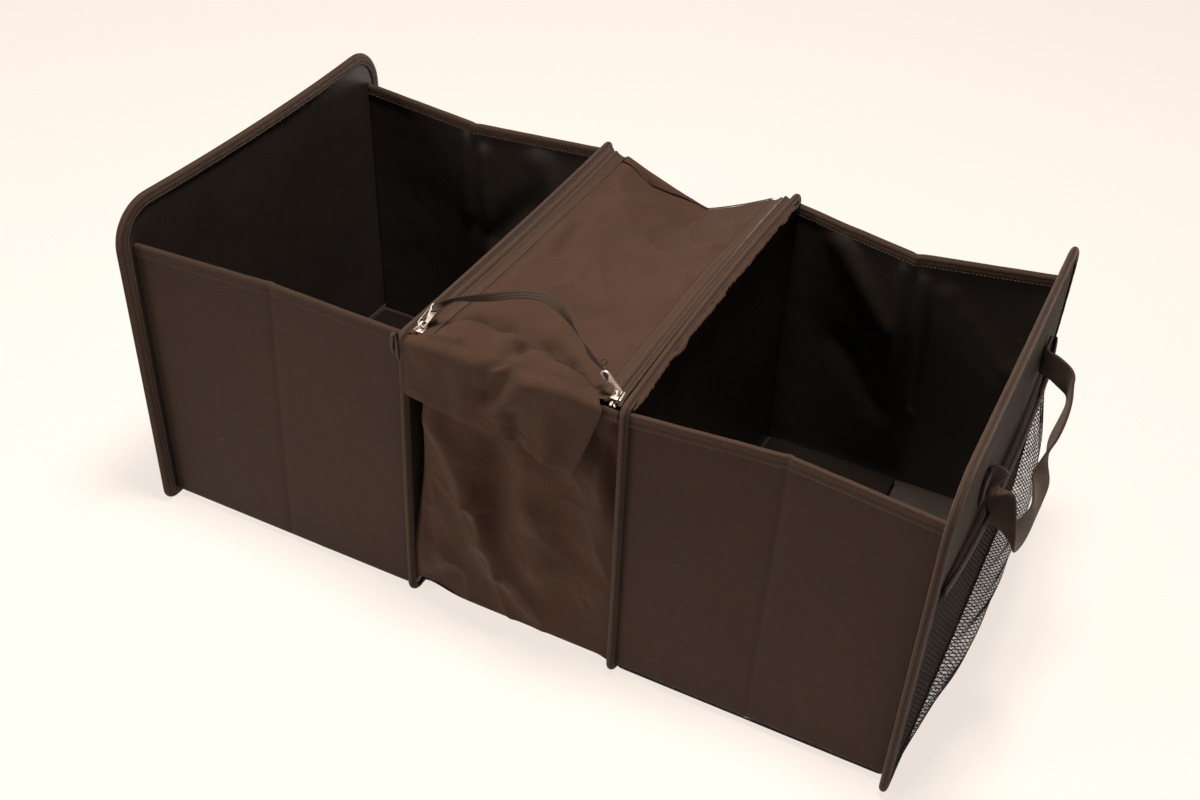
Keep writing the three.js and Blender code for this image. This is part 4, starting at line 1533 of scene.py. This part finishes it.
class PullParts:
    """The metal parts of both zips, and the strap that joins their pull tabs."""

    def build(self, maker: Maker) -> None:
        """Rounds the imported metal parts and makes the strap."""
        for side in ("left", "right"):
            slider, tab = f"{side}_zip_slider", f"{side}_pull_tab"
            rounded = Piece(f"{slider}_metal", "nickel", (slider,), f"{side}_slider")
            maker.from_solid(rounded, slider, 0.35, Finish.NICKEL)
            plate = Piece(f"{tab}_metal", "nickel", (tab,), JOINED_PULLS)
            maker.from_solid(plate, tab, 0.3, Finish.NICKEL)
            for label in ("divider", "lid"):
                stop = f"{side}_zip_{label}_stop"
                maker.from_solid(Piece(f"{stop}_metal", "nickel", (stop,)), stop, 0.3, Finish.NICKEL)
        self.strap(maker)
        self.curled_end(maker)

    def strap(self, maker: Maker) -> None:
        """Makes the flat strap between the tabs' holes."""
        run = (
            (17, 20, 17.5), (30, 23, 21.5), (47, 26, 27), (64, 28, 34), (80, 29, 39), (93, 29, 41),
            (104, 27, 39), (113, 25, 35), (123, 21, 28), (134, 15, 22), (145, 8, 18),
        )  # fmt: skip
        hinge_left = Vector((-76, -168, 287.55))
        hinge_right = Vector((96, -168, 287.55))
        left = self.hole_frame(38, 17)
        right = self.hole_frame(100, -35)
        start = [hinge_left + left @ Vector(p) for p in ((0, 17.5, -2.4), (0, 17.5, 0), (0.8, 17.5, 2.5))]
        end = [hinge_right + right @ Vector(p) for p in ((-0.8, 17.5, -2.5), (0, 17.5, 0), (0, 17.5, 2.4))]
        points = start + [hinge_left + Vector(p) for p in run] + end
        along_left, along_right = left @ Vector((0, 1, 0)), right @ Vector((0, 1, 0))
        lean = (
            (0, -0.5, 0.85), (0, -0.3, 0.9), (0, 0.1, 0.95), (0, 0.35, 0.9), (0, 0.5, 0.85), (0, 0.6, 0.8),
            (0.2, 0.6, 0.8), (0.45, 0.15, 0.8), (0.42, -0.5, 0.65), (0.38, -0.74, 0.57), (0.5, -0.2, 0.7),
        )  # fmt: skip
        sides = [along_left] * 3 + [Vector(p) for p in lean] + [along_right] * 3

        def place(u: float, v: float) -> Vector:
            near = min(u, 1 - u)
            gather = 0.45 + 0.72 * smooth((near - 0.045) / 0.03) - 0.37 * smooth((near - 0.125) / 0.025)
            gather += 0.2 * smooth((near - 0.17) / 0.1)
            return ribbon_point(points, sides, u, (v - 0.5) * 7.5 * gather)

        bm = cloth_grid((110, 6), (230, 7.5), place)
        piece = Piece("pull_strap_tape", "webbing", ("pull_strap",), JOINED_PULLS)
        maker.sheet(piece, bm, 0.9, Finish.WEBBING, offset=0.0)

    def curled_end(self, maker: Maker) -> None:
        """Makes the strap's short end, which curls up at the right tab."""
        middle, radius, width = Vector((79.5, -161, 304.6)), 2.3, 3.2
        level, rising = Vector((0.9, 0.4, 0.1)), Vector((-0.1, 0.3, 0.95))
        across = Vector((-0.35, 0.74, -0.57))

        def place(u: float, v: float) -> Vector:
            turn = math.radians(mix(-150, 170, u))
            ring = middle + radius * (math.cos(turn) * level + math.sin(turn) * rising)
            return ring + (v - 0.5) * width * across

        piece = Piece("pull_strap_curled_end", "webbing", (), JOINED_PULLS)
        maker.sheet(piece, cloth_grid((24, 3), (14, 3), place), 0.8, Finish.WEBBING, offset=0.0)

    @staticmethod
    def hole_frame(rise: float, turn: float) -> Matrix:
        """A tab's own directions at rest, leaning back from level by rise and turned to the middle."""
        raised = Matrix.Rotation(math.radians(rise), 3, "X")
        return raised @ Matrix.Rotation(math.radians(-turn), 3, "Z")


def ribbon_point(points: Sequence[Vector], sides: Sequence[Vector], share: float, across: float) -> Vector:
    """A point of a flat band that follows a curve.

    Args:
        points: The points that the band's middle passes through.
        sides: The direction across the band at each of them.
        share: How far along the band.
        across: Millimetres from its middle.

    Returns:
        The point.
    """
    middle = smooth_path(points, share)
    ahead = smooth_path(points, min(1, share + 0.004)) - smooth_path(points, max(0, share - 0.004))
    side = smooth_path(sides, share)
    ahead.normalize()
    side = (side - ahead * side.dot(ahead)).normalized()
    return middle + side * across


# The ends


@dataclass
class EndFittings:
    """The mesh pocket, its elastic hem and the webbing handle on an end panel."""

    name: str
    panel: UprightPanel
    out: int

    def local(self, away: float, y: float, z: float) -> Vector:
        """A place by how far it is from the panel's outer face, with the left end turned about."""
        turned = self.out * y
        face = self.panel.surface(turned, z) + self.out * PANEL_TO_FACE
        return Vector((face + self.out * away, turned, z))

    def gape(self, y: float, share: float) -> float:
        """How far the net stands off the panel."""
        across = max(0.0, 1 - abs(y / HALF_POCKET) ** 4)
        share = clamp(share)
        return across * (20 * math.sin(math.pi * share**0.9) + 4.5 * share)

    def net_point(self, y: float, z: float) -> Vector:
        """A point of the net, from its place on the flat."""
        share = (z - POCKET_FOOT) / POCKET_HEIGHT
        loose = smooth(share * 4) * smooth((HALF_POCKET - abs(y)) / 25)
        fold = loose * (2.2 * ripple(y / 26, z / 90, 1.0) + 1.2 * ripple(y / 60, z / 50, 4.0))
        return self.local(0.8 + self.gape(y, share) + fold, y, z)

    def build(self, maker: Maker) -> None:
        """Makes the net, the hem and the handle."""
        self.net(maker)
        self.hem(maker)
        self.handle(maker)

    def net(self, maker: Maker) -> None:
        """Makes the net: diamond cells of thread, wired from a slanted grid."""
        cell, count = 3.168, 124
        half_width, half_height = HALF_POCKET - 0.5, POCKET_HEIGHT / 2 - 0.5
        bm = bmesh.new()
        bmesh.ops.create_grid(bm, x_segments=count, y_segments=count, size=0.5)
        diamond = Matrix.Diagonal((1.0, 1.25, 1, 1)) @ Matrix.Rotation(math.pi / 4, 4, "Z")
        bmesh.ops.transform(bm, matrix=diamond @ Matrix.Scale(cell * count, 4), verts=bm.verts[:])
        for x, y in ((1, 0), (-1, 0), (0, 1), (0, -1)):
            normal = Vector((x, y, 0))
            bmesh.ops.bisect_plane(
                bm,
                geom=bm.verts[:] + bm.edges[:] + bm.faces[:],
                plane_co=normal * (half_width if x else half_height),
                plane_no=normal,
                clear_outer=True,
            )
        bmesh.ops.remove_doubles(bm, verts=bm.verts[:], dist=0.4)
        middle = POCKET_FOOT + POCKET_HEIGHT / 2
        for vert in bm.verts:
            vert.co = self.net_point(vert.co.x, vert.co.y + middle) * MM
        bmesh.ops.wireframe(
            bm,
            faces=bm.faces[:],
            thickness=1.35 * MM,
            use_replace=True,
            use_boundary=True,
            use_even_offset=False,
        )
        node = f"{self.name}_mesh_pocket"
        made = maker.plain(Piece(f"{node}_net", "netting", (node,)), bm, Finish.NET)

    def hem(self, maker: Maker) -> None:
        """Makes the elastic hem: a flat tube of gathered tape."""

        def place(u: float, v: float) -> Vector:
            y = mix(-HALF_POCKET, HALF_POCKET, u)
            turn = 2 * math.pi * v
            swell = 1 + 0.16 * ripple(y / 4.2, 6 * math.cos(turn), 2.0)
            away = 2.0 + self.gape(y, 1.0) + 1.9 * swell * math.cos(turn)
            return self.local(away, y, 213.3 + 6.3 * math.sin(turn))

        bm = close_tube(cloth_grid((150, 16), (2 * HALF_POCKET, 30), place))
        node = f"{self.name}_pocket_hem"
        made = maker.plain(Piece(f"{node}_tape", "binding_tape", (node,)), bm, Finish.BINDING)

    def handle(self, maker: Maker) -> None:
        """Makes the webbing handle, sewn on at both ends."""
        route = (
            (0.4, 105, 0), (0.4, 88, 0), (0.8, 84.5, 0), (4, 82, 0), (13, 79, -1), (24, 73, -5),
            (29, 64, -10), (30, 46, -18), (28, 28, -30), (27, 14, -42), (28, 2, -52), (30, -12, -60),
            (31, -30, -66), (28, -48, -69), (23, -63, -65), (18, -74, -53), (15, -80, -38),
            (12.5, -82.5, -22), (9, -83, -9), (4.5, -83.5, -2), (1.5, -85, 0.5), (0.5, -89, 0),
            (0.4, -105, 0),
        )  # fmt: skip
        lean = (
            (0, 0, 1), (0, 0, 1), (0, 0, 1), (0, 0, 1), (0, 0, 1), (0, 0, 1),
            (0.05, -0.3, 0.95), (0.25, -0.5, 0.8), (0.3, -0.55, 0.75), (-0.1, -0.6, 0.75),
            (-0.5, -0.4, 0.65), (-0.35, -0.1, 0.9), (-0.15, 0, 1), (-0.3, 0, 0.95), (-0.6, 0, 0.8),
            (-0.85, 0.05, 0.55), (-0.95, 0.1, 0.35), (-0.9, 0.1, 0.45), (-0.7, 0.1, 0.7),
            (-0.4, 0.1, 0.9), (-0.15, 0, 1), (0, 0, 1), (0, 0, 1),
        )  # fmt: skip
        points = [self.local(away + 1.2, y, HANDLE_LEVEL + drop) for away, y, drop in route]
        sides = [Vector((self.out * x, self.out * y, z)) for x, y, z in lean]

        def place(u: float, v: float) -> Vector:
            return ribbon_point(points, sides, u, (0.5 - v) * 25)

        bm = cloth_grid((190, 10), (300, 25), place)
        node = f"{self.name}_handle"
        piece = Piece(f"{node}_webbing", "webbing", (node,))
        maker.sheet(piece, bm, 2.2, Finish.WEBBING, offset=0.0)


# The bottom


@dataclass
class Bottom:
    """The cloth floors and the loose boards that lie on them."""

    panels: Sequence[UprightPanel]

    def build(self, maker: Maker, cooler: Cooler) -> None:
        """Makes the floors and the boards."""
        names = ("left_bin_floor", "cooler_floor", "right_bin_floor")
        for index, node in enumerate(names):
            self.floor(maker, node, self.panels[index], self.panels[index + 1], cooler)
        self.flat_board(maker)
        self.folded_board(maker)

    def floor(
        self, maker: Maker, node: str, left: UprightPanel, right: UprightPanel, cooler: Cooler
    ) -> None:
        """Makes one cloth floor, drawn up at its front in the middle compartment."""
        box = Extent.of(node)

        def place(u: float, v: float) -> Vector:
            y = mix(-178.6, 178.6, v)
            x = mix(left.surface(y, 8) + PANEL_TO_FACE, right.surface(y, 8) - PANEL_TO_FACE, u)
            z = 7.7 + 0.5 * ripple(x / 40, y / 40, 2.0) * smooth(min(u, 1 - u, v, 1 - v) / 0.1)
            if node == "cooler_floor":
                z += 0.7 * cooler.lift(x - cooler.middle) * (1 - smooth((y + 179) / 70))
            return Vector((x, y, z - 0.5))

        bm = cloth_grid((24, 36), (box.size.x, 357), place)
        made = maker.sheet(Piece(f"{node}_cloth", "floor_cloth", (node,)), bm, 1.6, Finish.LINING)

    def flat_board(self, maker: Maker) -> None:
        """Makes the left board, creased across its middle."""
        box = Extent.of("left_base_board")

        def place(u: float, v: float) -> Vector:
            x, y = mix(box.low.x, box.high.x, u), mix(box.low.y, box.high.y, v)
            groove = 1.1 * bell(x - box.middle.x, 2.0)
            return Vector((x, y, box.high.z - groove + 0.25 * ripple(x / 60, y / 60, 5.0)))

        bm = cloth_grid((60, 30), (box.size.x, box.size.y), place)
        piece = Piece("left_base_board_cloth", "board_cloth", ("left_base_board",))
        maker.sheet(piece, bm, 2.9, Finish.BOARD)

    def folded_board(self, maker: Maker) -> None:
        """Makes the right board, folded in two with its cloth a little loose."""
        box = Extent.of("right_base_board")
        low, high = box.low.z + 1.5, box.high.z - 1.5
        radius = (high - low) / 2
        run = box.high.x - box.low.x - radius - 1.5

        def place(u: float, v: float) -> Vector:
            travel = u * (2 * run + math.pi * radius)
            y = mix(box.low.y, box.high.y, v)
            if travel < run:
                x, z = box.high.x - travel, low
            elif travel < run + math.pi * radius:
                turn = (travel - run) / radius
                x = box.low.x + 1.5 + radius - radius * math.sin(turn)
                z = low + radius * (1 - math.cos(turn))
            else:
                x, z = box.high.x - run + travel - run - math.pi * radius, high
            loose = 0.8 * ripple(x / 20, y / 28, 3.0) + 1.2 * sharp_ripple(x / 50, y / 60 + x / 90, 1.0)
            if z > high - 0.5:
                z += loose * smooth((box.high.x - x) / 12)
            return Vector((x, y, z))

        bm = cloth_grid((84, 46), (2 * run + 12, box.size.y), place)
        piece = Piece("right_base_board_cloth", "board_cloth", ("right_base_board",))
        maker.sheet(piece, bm, 2.8, Finish.BOARD, offset=0.0)


# The stage


@dataclass(frozen=True)
class Stage:
    """The pale floor, the soft lamps and the camera."""

    place: Vector = Vector((443.09, -946.66, 942.73))
    azimuth: float = 24.93
    elevation: float = 37.90
    roll: float = 3.01
    lens: float = 43.54
    backdrop: Colour = (1.0, 0.905, 0.835)

    def camera(self) -> None:
        """Sets the camera where the photographer stood."""
        turn, rise, roll = (math.radians(v) for v in (self.azimuth, self.elevation, self.roll))
        back = Vector((math.sin(turn) * math.cos(rise), -math.cos(turn) * math.cos(rise), math.sin(rise)))
        level = Vector((math.cos(turn), math.sin(turn), 0))
        up = back.cross(level)
        right = level * math.cos(roll) + up * math.sin(roll)
        top = up * math.cos(roll) - level * math.sin(roll)
        data = bpy.data.cameras.new("view")
        data.sensor_fit = "HORIZONTAL"
        data.sensor_width = 36
        data.lens = self.lens
        data.clip_end = 50
        camera = bpy.data.objects.new("view", data)
        frame = Matrix((right, top, back)).transposed().to_4x4()
        camera.matrix_world = Matrix.Translation(self.place * MM) @ frame
        bpy.context.scene.collection.objects.link(camera)
        bpy.context.scene.camera = camera

    def lamp(self, name: str, spot: Colour, size: float, power: float) -> None:
        """A warm square lamp that looks at the object, with its place and size in metres."""
        data = bpy.data.lights.new(name, "AREA")
        data.shape = "SQUARE"
        data.size = size
        data.energy = power
        data.color = (1.0, 0.92, 0.84)
        made = bpy.data.objects.new(name, data)
        made.location = spot
        aim = Vector((0, 0, 0.1)) - Vector(spot)
        made.rotation_euler = aim.to_track_quat("-Z", "Y").to_euler()
        bpy.context.scene.collection.objects.link(made)

    def lights(self) -> None:
        """Sets the lamps and the world: a faint fill that only the camera sees as a backdrop."""
        world = bpy.data.worlds.new("studio")
        bpy.context.scene.world = world
        world.use_nodes = True
        tree = Tree(world.node_tree)
        sky = world.node_tree.nodes["Background"]
        tree.give(sky, Color=(1.0, 0.93, 0.86, 1), Strength=0.2)
        wall = tree.give(tree.node("Background"), Color=(*self.backdrop, 1))
        seen = tree.between(tree.node("LightPath").outputs["Is Camera Ray"], sky, wall)
        tree.give(world.node_tree.nodes["World Output"], Surface=seen)
        self.lamp("above", (0.1, -0.05, 2.0), 0.42, 68)
        self.lamp("front", (-1.5, -2.0, 1.3), 0.7, 32)
        bpy.context.scene.view_settings.view_transform = "Standard"

    def floor(self) -> None:
        """Lays the pale floor, which shows its own colour to the camera and keeps the shadows."""
        bm = bmesh.new()
        bmesh.ops.create_grid(bm, x_segments=8, y_segments=8, size=12)
        material, tree, shader = new_material("pale_floor")
        tree.give(shader, Base_Color=(0.86, 0.79, 0.72, 1), Roughness=0.7, Specular_IOR_Level=0.1)
        path = tree.node("LightPath")
        seen = tree.sum("MAXIMUM", path.outputs["Is Camera Ray"], path.outputs["Is Glossy Ray"])
        seen = tree.sum("MAXIMUM", seen, path.outputs["Is Transmission Ray"])
        glow = tree.give(tree.node("Emission"), Color=(*self.backdrop, 1), Strength=1.0)
        away = tree.node("VectorMath", operation="LENGTH")
        tree.feed(away.inputs[0], tree.node("TexCoord").outputs["Object"])
        share = tree.sum("MULTIPLY", seen, tree.band(away.outputs["Value"], 1.3, 6.0, 0.8, 1.0))
        output = material.node_tree.nodes["Material Output"]
        tree.give(output, Surface=tree.between(share, shader, glow))
        floor = to_object("floor", bm, [material])


def leaning(front: float, middle: float, back: float, height: float, foot: float = 0.0) -> Bow:
    """A panel's lean along X, growing with height.

    Args:
        front: Millimetres at the top of its front edge.
        middle: Millimetres at the top of its middle.
        back: Millimetres at the top of its back edge.
        height: The panel's height.
        foot: Millimetres at its foot.

    Returns:
        The lean as a function of a place on the panel.
    """

    def lean(y: float, z: float) -> float:
        along = clamp(y / HALF_DEPTH, -1.0)
        ends = (front + back) / 2 + (back - front) / 2 * along
        top = ends + (middle - (front + back) / 2) * (1 - along * along)
        return mix(foot, top, clamp(z / height) ** 1.4)

    return lean


def bulging(strength: float, height: float) -> Bow:
    """A panel's bulge along X, most at the middle of its height and depth."""
    return lambda y, z: strength * arch(y, HALF_DEPTH) * math.sin(math.pi * clamp(z / height))


def main() -> None:
    """Builds the organizer's looks in order."""
    logging.basicConfig(level=logging.INFO, format="%(message)s")
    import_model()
    stage = Stage()
    stage.camera()
    stage.lights()
    stage.floor()
    maker = Maker(Workshop())
    sewing = Sewing(maker)
    left_end = UprightPanel("left_end", 42, 13, 11.5, -1, leaning(-3, 3.5, -6, END_HEIGHT))
    left_lean = leaning(5.3, 6.8, 4.2, DIVIDER_HEIGHT, foot=2.5)
    right_lean = leaning(-2, -6.5, -3, DIVIDER_HEIGHT)
    left_divider = UprightPanel("left_divider", 8, 13, 5.5, 0, left_lean)
    right_divider = UprightPanel("right_divider", 8, 13, 5.5, 0, right_lean, roll=4.2)
    right_end = UprightPanel("right_end", 42, 13, 11.5, 1, bulging(5.0, END_HEIGHT))
    panels = (left_end, left_divider, right_divider, right_end)
    for panel in panels:
        panel.build(maker, sewing)
    walls = (
        BinWall("left_bin_front", left_end, left_divider, -1, 8, 0, Finish.OUTER_CLOTH, rise=3.5),
        BinWall(
            "left_bin_back",
            left_end,
            left_divider,
            1,
            14,
            3,
            Finish.OUTER_CLOTH,
            billow=2.4,
            creases=(
                Crease((9, 250), (12, 120), 4.0, 6),
                Crease((-10, 262), (-14, 170), 3.6, 7),
                Crease((14, 150), (60, 205), -5, 13),
                Crease((70, 250), (110, 170), 4.5, 15),
            ),
        ),
        BinWall(
            "right_bin_front", right_divider, right_end, -1, 13, 0, Finish.BINDING, foot_lift=3.0
        ),
        BinWall(
            "right_bin_back",
            right_divider,
            right_end,
            1,
            30,
            2,
            Finish.BINDING,
            billow=2.4,
            rise=2.5,
            rise_at=0.55,
            creases=(
                Crease((10, 255), (14, 110), 4.0, 7),
                Crease((-9, 262), (-12, 150), 3.6, 6),
                Crease((-70, 258), (-20, 190), 5, 14),
                Crease((30, 240), (90, 170), 4.5, 15),
                Crease((-60, 150), (-14, 90), -4.5, 13),
            ),
        ),
    )
    for wall in walls:
        wall.build(maker, sewing)
    cooler = Cooler(left_divider, right_divider)
    cooler.build(maker, sewing)
    for closure in (Zip("left", -1, cooler.drop), Zip("right", 1, cooler.drop)):
        closure.build(maker, sewing)
    PullParts().build(maker)
    for name, panel, out in (("left", left_end, -1), ("right", right_end, 1)):
        EndFittings(name, panel, out).build(maker)
    Bottom(panels).build(maker, cooler)
    sewing.finish()
    bpy.context.view_layer.update()


if __name__ == "__main__":
    main()
